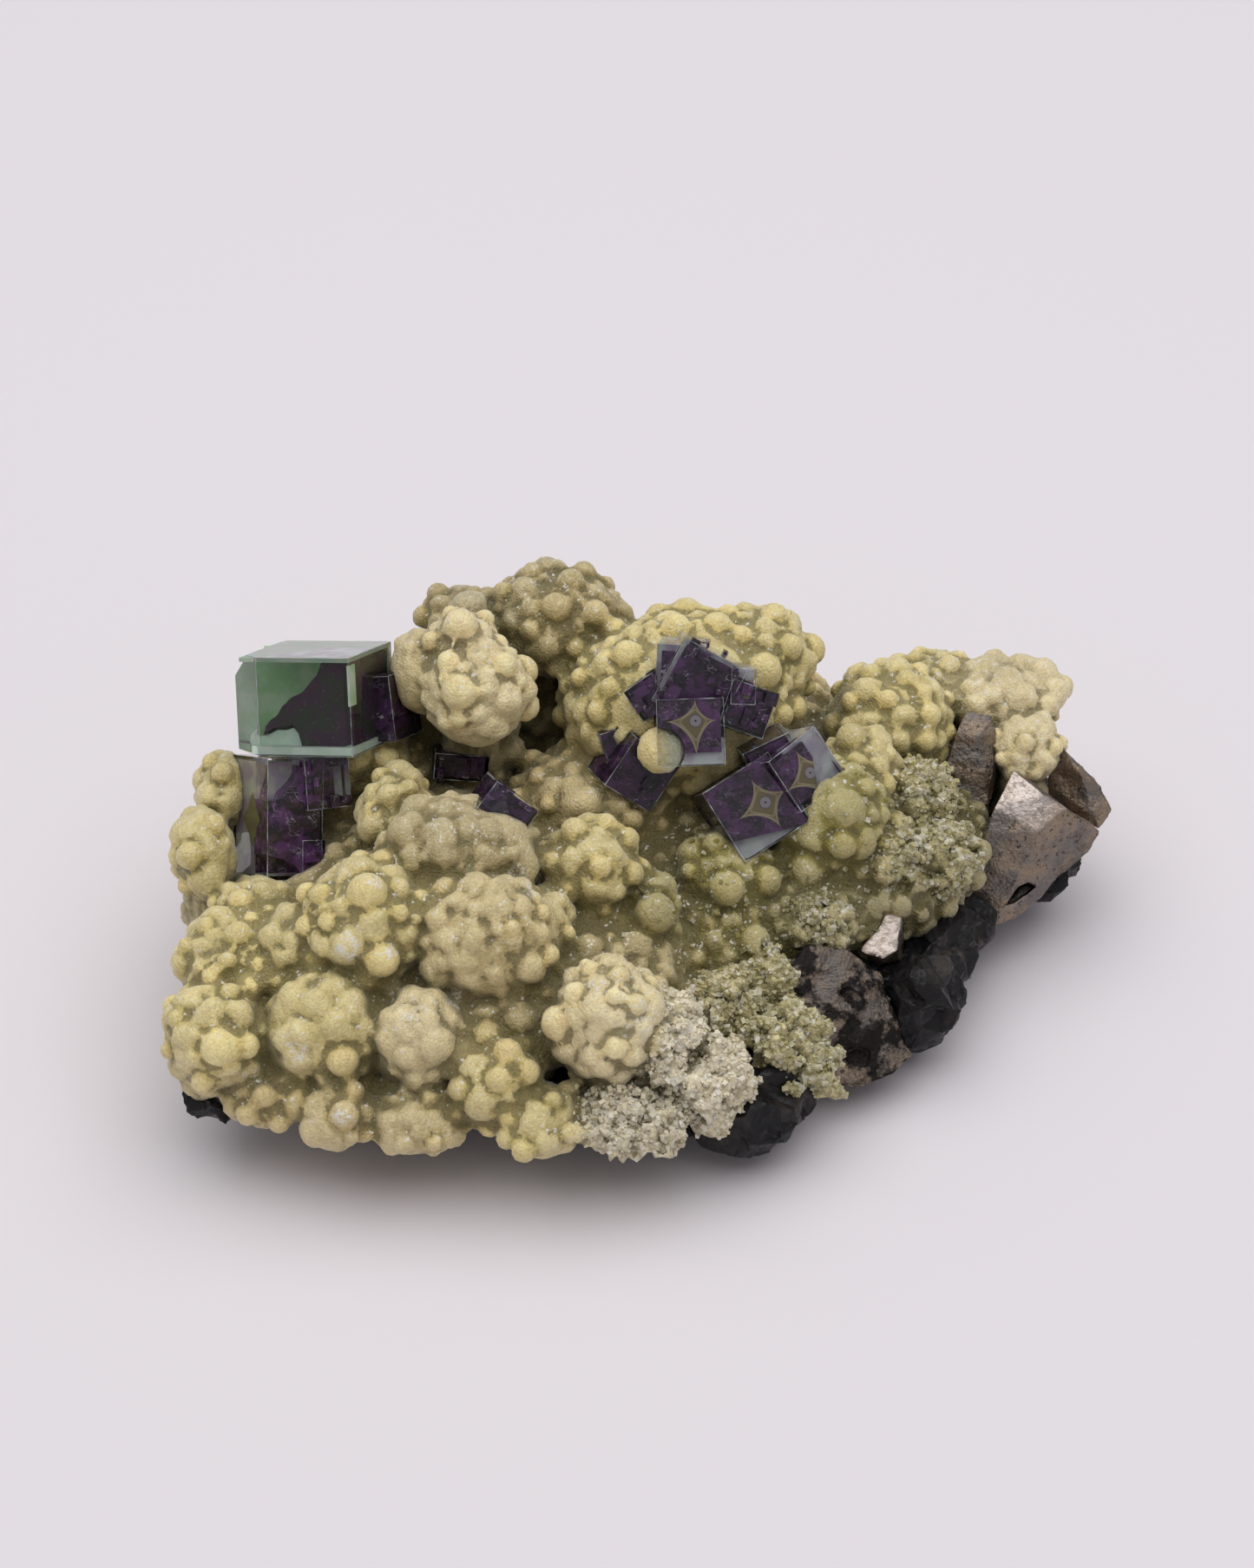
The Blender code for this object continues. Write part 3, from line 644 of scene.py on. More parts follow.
PEARLS = [
    Pearl(*pearl)
    for pearl in (
        (395, 1222, 2.0), (644, 1179, 2.2), (631, 1146, 1.3), (762, 865, 2.5), (440, 1105, 2.2), (531, 1218, 2.0),
        (531, 1255, 1.7), (561, 1194, 2.0), (585, 1213, 1.8), (607, 1235, 1.7), (564, 1300, 1.6), (345, 1272, 2.2),
        (397, 1285, 1.8), (655, 1029, 1.5), (718, 1062, 1.3), (703, 1081, 1.0), (755, 1053, 2.5), (817, 1064, 1.1),
        (284, 1205, 1.7), (252, 1207, 2.2), (245, 1127, 1.5), (321, 1131, 1.6), (631, 1101, 1.6), (514, 1027, 1.8),
        (423, 1029, 2.4), (484, 1036, 1.4), (310, 1053, 1.3), (278, 1040, 1.8), (219, 986, 1.8), (529, 798, 2.2),
        (531, 722, 2.2), (517, 763, 1.6), (513, 783, 1.1), (529, 827, 1.4), (580, 767, 1.8), (607, 828, 1.5),
        (615, 804, 1.3), (445, 875, 1.8), (472, 875, 1.3), (449, 918, 1.7), (427, 932, 1.1), (582, 894, 1.6),
        (639, 883, 1.3), (690, 820, 1.6), (641, 769, 1.5), (664, 747, 1.5), (662, 958, 1.8), (698, 951, 1.6),
        (723, 967, 1.6), (627, 979, 1.3), (653, 1024, 1.5), (796, 928, 1.2), (409, 975, 1.5), (256, 891, 1.5),
        (823, 973, 1.6), (930, 1001, 2.5), (838, 1024, 2.2), (1019, 974, 1.5), (1021, 1005, 1.6), (981, 851, 2.0),
        (998, 908, 1.4), (1019, 904, 1.6), (1004, 778, 1.6), (1023, 807, 1.5), (1063, 799, 1.4), (892, 710, 1.8),
        (909, 746, 1.8), (880, 773, 2.3), (901, 824, 1.6), (918, 832, 1.4), (791, 706, 2.2), (817, 696, 1.6),
        (854, 733, 1.5), (779, 725, 2.0),
    )
]


class Frost(NamedTuple):
    """A patch of white, sugary crystals: where it shows, how far it reaches in mm, and how white it is."""

    column: float
    row: float
    reach: float
    strength: float = 1.0


FROST = [
    Frost(*patch)
    for patch in (
        (400, 1092, 2.4), (452, 1096, 1.4), (345, 1212, 1.8), (330, 1188, 1.6, 0.7), (478, 1168, 3.0, 0.7),
        (520, 1152, 1.6), (395, 1284, 1.5), (705, 1142, 3.6, 0.7), (738, 1168, 3.4, 0.8), (788, 1190, 2.6),
        (592, 1008, 1.6), (500, 962, 3.4, 0.5), (558, 948, 3.0, 0.5), (612, 1026, 1.4), (430, 1014, 1.8, 0.7),
        (290, 1240, 1.6, 0.7), (812, 1238, 4.0, 0.7), (762, 1240, 3.4, 0.8), (800, 1296, 3.4, 0.7),
        (655, 1306, 2.0, 0.6), (620, 660, 3.4, 0.5), (805, 706, 3.0, 0.4), (1120, 785, 6.0, 0.6),
        (1185, 860, 3.0, 0.5), (1075, 880, 3.0, 0.7), (1062, 940, 4.0, 0.5),
    )
]


# Loose white grains: column, row, height and reach in mm
DUST = [(835, 1050, 18, 8.0), (940, 985, 22, 7.0), (1000, 900, 24, 4.0)]


def stretched(vector: Vector, radii: Vector) -> Vector:
    """A vector in the space where an ellipsoid of these radii is a ball of radius 1."""
    return Vector((vector.x / radii.x, vector.y / radii.y, vector.z / radii.z))


def meeting_point(column: float, row: float, masses: Masses) -> Vector:
    """Where the line of sight first meets the masses, or the rim of the mass that it passes closest."""
    eye, direction = SIGHT.eye(), SIGHT.way(column, row)
    nearest, closest = None, None
    for middle, radii, _, _ in masses:
        start, way = stretched(eye - middle, radii), stretched(direction, radii)
        along = -start.dot(way) / way.length_squared
        miss = (start + way * along).length
        if miss < 1:
            distance = along - math.sqrt(1 - miss * miss) / way.length
            if nearest is None or distance < nearest[0]:
                nearest = (distance, eye + direction * distance)
        elif closest is None or miss < closest[0]:
            rim = (start + way * along) / miss
            closest = (miss, middle + Vector((rim.x * radii.x, rim.y * radii.y, rim.z * radii.z)))
    return (nearest or closest)[1]


class Block(NamedTuple):
    """A cuboid that a crystal is built from, as the solids have it: its place, its size in mm and its turns."""

    column: float
    row: float
    stand: float
    size: tuple
    turn: float = 0
    lean: float = 0
    roll: float = 0
    cuts: tuple = ()


class Filling(Enum):
    """What grew inside the clear fluorite, and pale zones that are partly painted light."""

    PURPLE = "purple"
    PHANTOM = "phantom"
    # Partly milky growth, partly painted light: pale zones under the skin where the clear rims glow
    MILKY_AND_LIT = "milky"
    MINT = "mint"
    KHAKI = "khaki"
    GREY = "grey"
    HAZE = "haze"
    CLOUD = "cloud"


class Zone(NamedTuple):
    """A coloured growth zone inside a block, as shares of the block's half size, with the corners cut off it."""

    block: int
    low: tuple = (-0.84, -0.84, -0.9)
    high: tuple = (0.84, 0.84, 0.86)
    cuts: tuple = ()
    filling: Filling = Filling.PURPLE


class Shape(NamedTuple):
    """A growth zone with an outline of its own, in shares of the block's half size.

    Its axis is the direction that the outline is drawn across, from low to high.
    """

    block: int
    outline: tuple
    low: float
    high: float
    axis: str = "z"
    filling: Filling = Filling.PHANTOM


class Window(NamedTuple):
    """A star on a face of a zone, in mm: its middle, and how far its tips reach right, left, up and down."""

    zone: int
    face: str
    middle: tuple
    reach: tuple

    def faces(self, normal: Vector) -> bool:
        """Whether its face looks along a direction."""
        return normal["xyz".index(self.face[1])] * int(self.face[0] + "1") > 0.9


class Finish(Enum):
    """The two kinds of fluorite."""

    GREEN = "green_fluorite"
    PURPLE = "purple_fluorite"


def make_cuboid(block: Block, matrix: Matrix, low: tuple, high: tuple, cuts: tuple, grow: float = 0) -> Object:
    """Build one cuboid of a crystal.

    Args:
        block: The block that it belongs to.
        matrix: Where the block's middle is and how it is turned.
        low: Its lowest corner, as shares of the block's half size.
        high: Its highest corner, in the same shares.
        cuts: Directions and depths in mm of what is cut off it.
        grow: How much further out each side is moved.

    Returns:
        The object.
    """
    half = Vector(block.size) * MM / 2
    corner = Vector([half[k] * low[k] - grow for k in range(3)])
    other = Vector([half[k] * high[k] + grow for k in range(3)])
    size, middle = other - corner, (other + corner) / 2
    mesh = bmesh.new()
    bmesh.ops.create_cube(mesh, size=1, matrix=Matrix.Diagonal((*size, 1)))
    for way, depth in cuts:
        normal = Vector(way).normalized()
        reach = sum(abs(normal[axis]) * size[axis] / 2 for axis in range(3))
        parts = mesh.verts[:] + mesh.edges[:] + mesh.faces[:]
        at = normal * (reach - depth * MM)
        made = bmesh.ops.bisect_plane(mesh, geom=parts, plane_co=at, plane_no=normal, clear_outer=True)
        bmesh.ops.edgeloop_fill(mesh, edges=[p for p in made["geom_cut"] if isinstance(p, bmesh.types.BMEdge)])
    bmesh.ops.recalc_face_normals(mesh, faces=mesh.faces)
    mesh.transform(matrix @ Matrix.Translation(middle))
    return object_from(mesh, "cuboid")


WHOLE = ((-1, -1, -1), (1, 1, 1))


@dataclass
class Fluorite:
    """One fluorite crystal: clear glass, a coloured core inside it, and small steps on its faces.

    Attributes:
        node: The solid that it stands for.
        blocks: The cuboids that it is built from.
        zones: Its growth zones that are boxes.
        windows: The stars on its zones.
        shapes: Its growth zones that have an outline of their own.
        steps: How many small growth steps stand on its faces.
        stepped: The blocks that they stand on.
        seed: For the steps.
        vivid: How strong its purple is.
        finish: Which kind of fluorite it is.
        matrices: Where the middle of each block is, once the crystal stands.
        bevel: How wide its bright edges are.
    """

    node: str
    blocks: list[Block]
    zones: list[Zone] = field(default_factory=list)
    windows: list[Window] = field(default_factory=list)
    shapes: list[Shape] = field(default_factory=list)
    steps: int = 0
    stepped: tuple = (0,)
    seed: int = 1
    vivid: float = 1.0
    finish: Finish = Finish.PURPLE
    matrices: list[Matrix] = field(default_factory=list)
    bevel: float = 0.03 * MM

    def stand(self, masses: Masses) -> None:
        """Work out where each block is, in the same way as the solids do."""
        turn, first = SIGHT.turn(), self.blocks[0]
        root = meeting_point(first.column, first.row, masses)
        depth = (root - SIGHT.eye()).dot(-turn.col[2]) - first.stand * MM
        for place, block in enumerate(self.blocks):
            nearer = block.stand * MM if place else 0
            way = SIGHT.way(block.column, block.row)
            front = SIGHT.eye() + way * ((depth - nearer) / way.dot(-turn.col[2]))
            matrix = turn.to_4x4() @ Matrix.Rotation(math.radians(block.turn), 4, "Y")
            matrix = matrix @ Matrix.Rotation(math.radians(block.lean), 4, "X")
            matrix = matrix @ Matrix.Rotation(math.radians(block.roll), 4, "Z")
            middle = Matrix.Translation((0, 0, -block.size[2] * MM / 2))
            self.matrices.append(Matrix.Translation(front) @ matrix @ middle)

    def hides(self, point: Vector, radius: float) -> bool:
        """Whether a pearl here would stand inside the crystal, or between it and the photograph's eye."""
        for block, matrix in zip(self.blocks, self.matrices):
            to_block = matrix.inverted()
            half = [side * MM / 2 + radius * 0.8 for side in block.size]
            start = to_block @ point
            way = to_block.to_3x3() @ (point - SIGHT.eye()).normalized()
            enter, leave = -radius, 1.0
            for axis in range(3):
                if abs(way[axis]) < 1e-9:
                    continue
                ends = sorted((side * half[axis] - start[axis]) / way[axis] for side in (-1, 1))
                enter, leave = max(enter, ends[0]), min(leave, ends[1])
            if enter < leave:
                return True
        return False

    def cutters(self, gap: float) -> list[Object]:
        """The blocks, each wider by a gap on every side, to cut the crust with."""
        return [make_cuboid(b, m, *WHOLE, b.cuts, gap) for b, m in zip(self.blocks, self.matrices)]

    def step_boxes(self) -> list[tuple[Block, Matrix, tuple, tuple]]:
        """Small, tilted steps that growth left on the faces that show: block, matrix and corners in shares."""
        chance, found = random.Random(self.seed), []
        for _ in range(self.steps):
            index = chance.choice(self.stepped)
            size = self.blocks[index].size
            axis, rise = chance.choice([1, 2, 2]), chance.uniform(0.08, 0.4)
            low, high = [0.0] * 3, [0.0] * 3
            for k in range(3):
                reach, middle = chance.uniform(0.5, 1.9) / size[k], chance.uniform(-0.9, 0.9)
                low[k], high[k] = max(middle - reach, -1.05), min(middle + reach, 1.05)
            low[axis], high[axis] = 0.5, 1 + 2 * rise / size[axis]
            tilt = Euler([math.radians(chance.uniform(-3.5, 3.5)) for _ in range(3)]).to_matrix().to_4x4()
            found.append((self.blocks[index], self.matrices[index] @ tilt, tuple(low), tuple(high)))
        return found

    def build_glass(self, material: Material) -> Object:
        """The clear crystal: its blocks and steps as one closed skin with fine bright edges."""
        parts = [make_cuboid(b, m, *WHOLE, b.cuts) for b, m in zip(self.blocks, self.matrices)]
        parts += [make_cuboid(*step, ()) for step in self.step_boxes()]
        glass = parts[0]
        glass.name = self.node + "_glass"
        for part in parts[1:]:
            combine(glass, part, "UNION")
        bevel_edges(glass, self.bevel, 1, 30)
        dress(glass, material)
        hand_over(glass, self.finish.value, self.node)
        return glass

    def map_windows(self, part: Object, index: int) -> None:
        """Lay the star windows of a zone on its faces, as a map in mm from the star's middle."""
        layer = part.data.uv_layers.new(name="window")
        back = self.matrices[self.zones[index].block].inverted()
        for face in part.data.polygons:
            normal = back.to_3x3() @ face.normal
            found = [window for window in self.windows if window.zone == index and window.faces(normal)]
            for corner in face.loop_indices:
                spot = back @ part.data.vertices[part.data.loops[corner].vertex_index].co / MM
                if found and found[0].face[1] == "z":
                    place = (spot.x - found[0].middle[0], spot.y - found[0].middle[1])
                elif found:
                    place = (spot.z - found[0].middle[0], spot.y - found[0].middle[1])
                else:
                    place = (50.0, 50.0)
                layer.data[corner].uv = place

    def build_shape(self, shape: Shape) -> Object:
        """Draw one growth zone's outline through its block, with an uneven rim."""
        half = Vector(self.blocks[shape.block].size) * MM / 2
        matrix = self.matrices[shape.block]
        first, second = (0, 1) if shape.axis == "z" else (2, 1)
        depth = 2 if shape.axis == "z" else 0
        rims, mesh = [], bmesh.new()
        corners = [Vector(point) for point in shape.outline]
        fine = [a.lerp(b, k / 6) for a, b in zip(corners, corners[1:] + corners[:1]) for k in range(6)]
        for level in (shape.low, shape.high):
            rim = []
            for across, along in fine:
                spot = Vector((0, 0, 0))
                for axis, share in ((first, across), (second, along), (depth, level)):
                    spot[axis] = share * half[axis]
                stray = noise.noise_vector(spot * 900) * 0.22 * MM
                stray[depth] = 0
                rim.append(mesh.verts.new(matrix @ (spot + stray)))
            rims.append(rim)
        mesh.faces.new(rims[0])
        mesh.faces.new(rims[1])
        for k in range(len(fine)):
            after = (k + 1) % len(fine)
            mesh.faces.new((rims[0][k], rims[0][after], rims[1][after], rims[1][k]))
        bmesh.ops.triangulate(mesh, faces=mesh.faces)
        bmesh.ops.recalc_face_normals(mesh, faces=mesh.faces)
        return object_from(mesh, "shape")

    def build_zones(self, materials: dict[Filling, Material], bite: Object | None) -> None:
        """Build what grew inside the glass, each filling as one closed solid.

        Args:
            materials: The material of each filling.
            bite: What is cut away from it, if anything.
        """
        for filling in Filling:
            parts = []
            for index, zone in enumerate(self.zones):
                if zone.filling is filling:
                    block, matrix = self.blocks[zone.block], self.matrices[zone.block]
                    part = make_cuboid(block, matrix, zone.low, zone.high, zone.cuts)
                    self.map_windows(part, index)
                    parts.append(part)
            for step in self.step_boxes() if filling is Filling.PURPLE else ():
                parts.append(make_cuboid(*step, (), -0.07 * MM))
                self.map_windows(parts[-1], -1)
            for shape in self.shapes:
                if shape.filling is filling:
                    parts.append(self.build_shape(shape))
                    self.map_windows(parts[-1], -1)
            if not parts:
                continue
            whole = parts[0]
            whole.name = self.node + "_" + filling.value
            for part in parts[1:]:
                combine(whole, part, "UNION")
            if bite:
                combine(whole, bite, "DIFFERENCE", keep=True)
            dress(whole, materials[filling])
            hand_over(whole, self.finish.value)

    def build_edges(self, material: Material, tree: NodeTree) -> Object:
        """Painted highlights: thin pale threads along the edges of the crystals, where they catch the light."""
        whole = bmesh.new()
        for block, matrix in zip(self.blocks, self.matrices):
            box = make_cuboid(block, matrix, *WHOLE, block.cuts, -0.03 * MM)
            whole.from_mesh(box.data)
            bpy.data.objects.remove(box)
        edges = object_from(whole, self.node + "_edges")
        values = {"Step": 0.22 * MM, "Radius": 0.045 * MM, "Seed": float(self.seed), "Finish": material}
        run_nodes(edges, tree, values)
        hand_over(edges, self.finish.value)
        return edges


def edge_nodes() -> NodeTree:
    """Geometry Nodes that lay an uneven, broken thread along every edge of a mesh."""
    graph, given, result = geometry_group("Edge threads", floats("Step", "Radius", "Seed"))
    lines = graph.add("GeometryNodeMeshToCurve", {0: given["Geometry"]})
    inputs = {"Curve": lines.outputs[0], "Length": given["Step"]}
    fine = graph.add("GeometryNodeResampleCurve", inputs, mode="LENGTH")
    where = graph.add("GeometryNodeInputPosition").outputs[0]
    inputs = {"Vector": where, "W": given["Seed"], "Scale": 900.0, "Detail": 2.0}
    cloud = graph.add("ShaderNodeTexNoise", inputs, noise_dimensions="4D")
    size = graph.add("ShaderNodeMapRange", {0: cloud.outputs[0], 1: 0.40, 2: 0.62, 3: 0.2, 4: 1.0})
    thick = graph.times(size.outputs[0], given["Radius"])
    ring = graph.add("GeometryNodeCurvePrimitiveCircle", {"Resolution": 4, "Radius": 1.0})
    inputs = {"Curve": fine.outputs[0], "Profile Curve": ring.outputs[0], "Scale": thick, "Fill Caps": True}
    tube = graph.add("GeometryNodeCurveToMesh", inputs)
    return finish_nodes(graph, tube, given, result)


# Pale zones just under the skin: partly milky growth, partly painted light where the clear rims glow
PALE = Filling.MILKY_AND_LIT
PHANTOM_OUTLINE = (
    (0.52, 0.88), (0.43, 0.62), (0.27, 0.34), (-0.02, 0.10), (-0.20, -0.18), (-0.39, -0.44), (-0.43, -0.64),
    (-0.29, -0.46), (0.04, -0.38), (0.15, -0.58), (0.17, -0.82), (0.35, -0.92), (0.57, -0.94), (0.86, -0.80),
    (0.86, 0.88),
)
MINT_OUTLINE = (
    (-0.60, -0.86), (-0.52, -0.66), (-0.27, -0.54), (0.02, -0.46), (0.10, -0.60), (0.12, -0.90),
)
STEPPED_OUTLINE = (
    (-0.90, 0.30), (-0.45, 0.34), (-0.28, 0.48), (0.05, 0.60), (0.34, 0.84), (0.94, 0.90), (0.94, -0.94),
    (0.30, -0.90), (-0.12, -0.72), (-0.42, -0.64), (-0.90, -0.60),
)

FLUORITES = [
    Fluorite(
        "green_fluorite",
        [
            Block(329, 815, 9.0, (14.5, 10.4, 12.4), -18, 10, -1, (((-1, 0, 1), 2.9), ((-1, 1, 0), 1.8))),
            Block(419, 819, -5.5, (6.6, 7.0, 7.0), -21, 10, 3),
        ],
        [
            Zone(1, (-0.9, -0.96, -0.9), (0.97, 0.97, 0.95)),
            Zone(0, (-0.58, -0.975, -0.9), (0.97, -0.82, 0.93), filling=Filling.MINT),
            Zone(0, (-0.7, 0.90, -0.94), (0.975, 0.985, 0.96), filling=Filling.HAZE),
            Zone(0, (-0.3, 0.95, -0.2), (0.97, 0.992, 0.9), (((-1, 0, -0.6), 3.4),), filling=PALE),
            Zone(0, (-0.97, -0.97, -0.98), (0.97, 0.9, -0.9), filling=Filling.CLOUD),
            Zone(0, (0.96, 0.02, 0.70), (0.985, 0.84, 0.97), filling=Filling.CLOUD),
        ],
        shapes=[
            Shape(0, PHANTOM_OUTLINE, 0.2, 0.74),
            Shape(0, ((0.5, 0.84), (0.36, 0.2), (0.3, -0.5), (0.5, -0.9), (0.88, -0.8), (0.88, 0.84)), -0.88, 0.3),
            Shape(0, MINT_OUTLINE, -0.2, 0.6, filling=Filling.MINT),
        ],
        finish=Finish.GREEN,
        bevel=0.14 * MM,
    ),
    Fluorite(
        "stepped_fluorite",
        [
            Block(340, 944, 7.0, (6.2, 12.8, 9.6), 27, 3, 1),
            Block(378, 902, -0.8, (5.0, 5.4, 6.0), 27, 3, 6),
            Block(362, 988, -1.2, (2.6, 3.6, 5.0), 27, 3, 1),
        ],
        [
            Zone(0, (-0.86, -0.9, -0.9), (0.86, -0.45, 0.3)),
            Zone(0, (0.2, 0.2, -0.8), (0.95, 0.86, 0.6)),
            Zone(1, (-0.9, -0.7, -0.9), (0.5, 0.86, 0.3)),
            Zone(2, (-0.9, -0.8, -0.9), (0.8, 0.9, 0.8)),
            Zone(0, (-0.88, -0.95, -0.86), (0.9, 0.92, 0.24), filling=Filling.GREY),
            Zone(1, (-0.93, -0.93, -0.9), (0.93, 0.93, 0.1), filling=PALE),
        ],
        shapes=[
            Shape(0, STEPPED_OUTLINE, 0.2, 0.94, filling=Filling.PURPLE),
            Shape(0, ((0.1, 0.42), (-0.42, -0.02), (0.1, -0.48), (0.5, -0.02)), -0.93, -0.7, "x", Filling.KHAKI),
        ],
        steps=10,
        stepped=(1, 2),
        seed=3,
        vivid=1.9,
    ),
    Fluorite(
        "star_fluorite",
        [
            Block(796, 844, 4.6, (7.0, 7.0, 7.6), 2, 4, 2),
            Block(806, 790, -1.4, (7.4, 7.4, 6.4), 4, 9, -28),
            Block(783, 778, -2.4, (5.0, 6.4, 5.4), -8, 10, -4),
            Block(746, 804, -2.8, (3.6, 3.8, 5.0), -10, 8, 34),
            Block(857, 791, -1.2, (2.6, 3.8, 4.6), 4, 6, -2),
            Block(862, 817, -2.2, (5.2, 5.0, 5.4), 18, 6, -18),
        ],
        [
            Zone(0, (-0.97, -0.62, -0.9), (0.90, 0.97, 0.86)),
            Zone(1, (-0.84, -0.84, -0.9), (0.84, 0.84, 0.8)),
            Zone(2, (-0.8, -0.84, -0.9), (0.8, 0.74, 0.8)),
            Zone(3),
            Zone(5, (-0.84, -0.84, -0.9), (0.84, 0.84, 0.8)),
            Zone(4, (-0.6, -0.7, -0.9), (0.6, 0.3, 0.5), filling=Filling.KHAKI),
            Zone(0, (-0.97, -0.975, -0.9), (0.975, -0.2, 0.7), filling=PALE),
            Zone(1, (-0.975, -0.975, -0.9), (0.975, 0.975, 0.5), filling=PALE),
            Zone(2, (-0.975, -0.975, -0.9), (0.97, 0.975, 0.5), filling=PALE),
            Zone(4, (-0.86, -0.86, -0.9), (0.86, 0.86, 0.3), filling=PALE),
        ],
        [Window(0, "+z", (0.55, 1.15), (2.1, 3.1, 2.2, 3.8))],
        steps=40,
        stepped=(1, 1, 2, 3, 5),
        seed=5,
        vivid=1.4,
    ),
    Fluorite(
        "dark_fluorite",
        [
            Block(741, 893, 2.6, (6.0, 6.0, 6.4), 18, 17, -30),
            Block(722, 862, -1.6, (4.6, 4.6, 4.0), 6, 12, 20),
        ],
        [Zone(0, (-0.97, -0.97, -0.9), (0.97, 0.97, 0.95)), Zone(1, (-0.96, -0.96, -0.9), (0.96, 0.96, 0.92))],
        steps=12,
        stepped=(0, 1),
        seed=8,
    ),
    Fluorite(
        "corner_fluorite",
        [
            Block(872, 930, 8.0, (8.2, 8.4, 8.4), 8, -3, 32),
            Block(931, 886, -0.6, (6.6, 6.4, 7.6), 24, -4, 35),
            Block(894, 882, -1.8, (5.4, 5.2, 6.4), 8, 10, 26),
        ],
        [
            Zone(0, (-0.97, -0.97, -0.9), (0.94, 0.975, 0.88), (((-0.35, -1, 0), 2.2),)),
            Zone(1, (-0.9, -0.8, -0.9), (0.42, 0.8, 0.8), (((1, -0.5, 0), 1.4),)),
            Zone(2),
            Zone(0, (-0.975, -0.975, -0.9), (0.975, 0.1, 0.6), filling=PALE),
            Zone(1, (-0.3, -0.975, -0.9), (0.975, 0.975, 0.6), filling=PALE),
        ],
        [
            Window(0, "+z", (1.1, -0.1), (2.6, 3.4, 2.8, 3.1)),
            Window(1, "+z", (0.2, -0.6), (1.8, 2.0, 2.4, 2.0)),
        ],
        steps=8,
        stepped=(2,),
        seed=13,
        vivid=1.2,
    ),
    Fluorite(
        "fluorite_chip", [Block(532, 885, 6.4, (5.8, 2.8, 8.0), 4, 12, -4)], [Zone(0)], steps=4, seed=21
    ),
    Fluorite(
        "fluorite_splinter", [Block(585, 934, 1.0, (5.4, 3.6, 7.0), 10, 8, -36)], [Zone(0)], steps=4, seed=22
    ),
]


def nearness(spots: np.ndarray, middle: Vector, radii: Vector, fall: float) -> np.ndarray:
    """How near each place is to a mass: less by a factor of e for each fall away from its skin."""
    away = (np.linalg.norm((spots - np.array(middle)) / np.array(radii), axis=1) - 1) * min(radii)
    return np.exp(-np.clip(away, -1 * MM, 30 * MM) / fall)


@dataclass(frozen=True)
class Layer:
    """One layer of pearls over the masses.

    Attributes:
        seed: For their turns and sizes.
        sizes: The least and the greatest radius in mm, or nothing where each mass has its own.
        least: Smaller ones than this are left out.
        spacing: How far apart they are tried, in mean radii.
        crowding: How close two may stand, as a share of their radii together.
        sunk: How deep their middles lie in the mass, as a share of their radius.
        clear: How far they keep out of the creases between masses, as a share of their radius.
    """

    seed: int
    sizes: tuple | None = None
    least: float = 1.2
    spacing: float = 2.6
    crowding: float = 0.75
    sunk: float = 0.0
    clear: float = -0.3


# The first is the solids' own layer, and the others fill the skin between its pearls
LAYERS = [
    Layer(11),
    Layer(12, (1.2, 2.3), 1.0, 1.5, 0.56, 0.48, 0.5),
    Layer(13, (0.7, 1.1), 0.6, 2.0, 0.74, 0.36, 0.3),
]


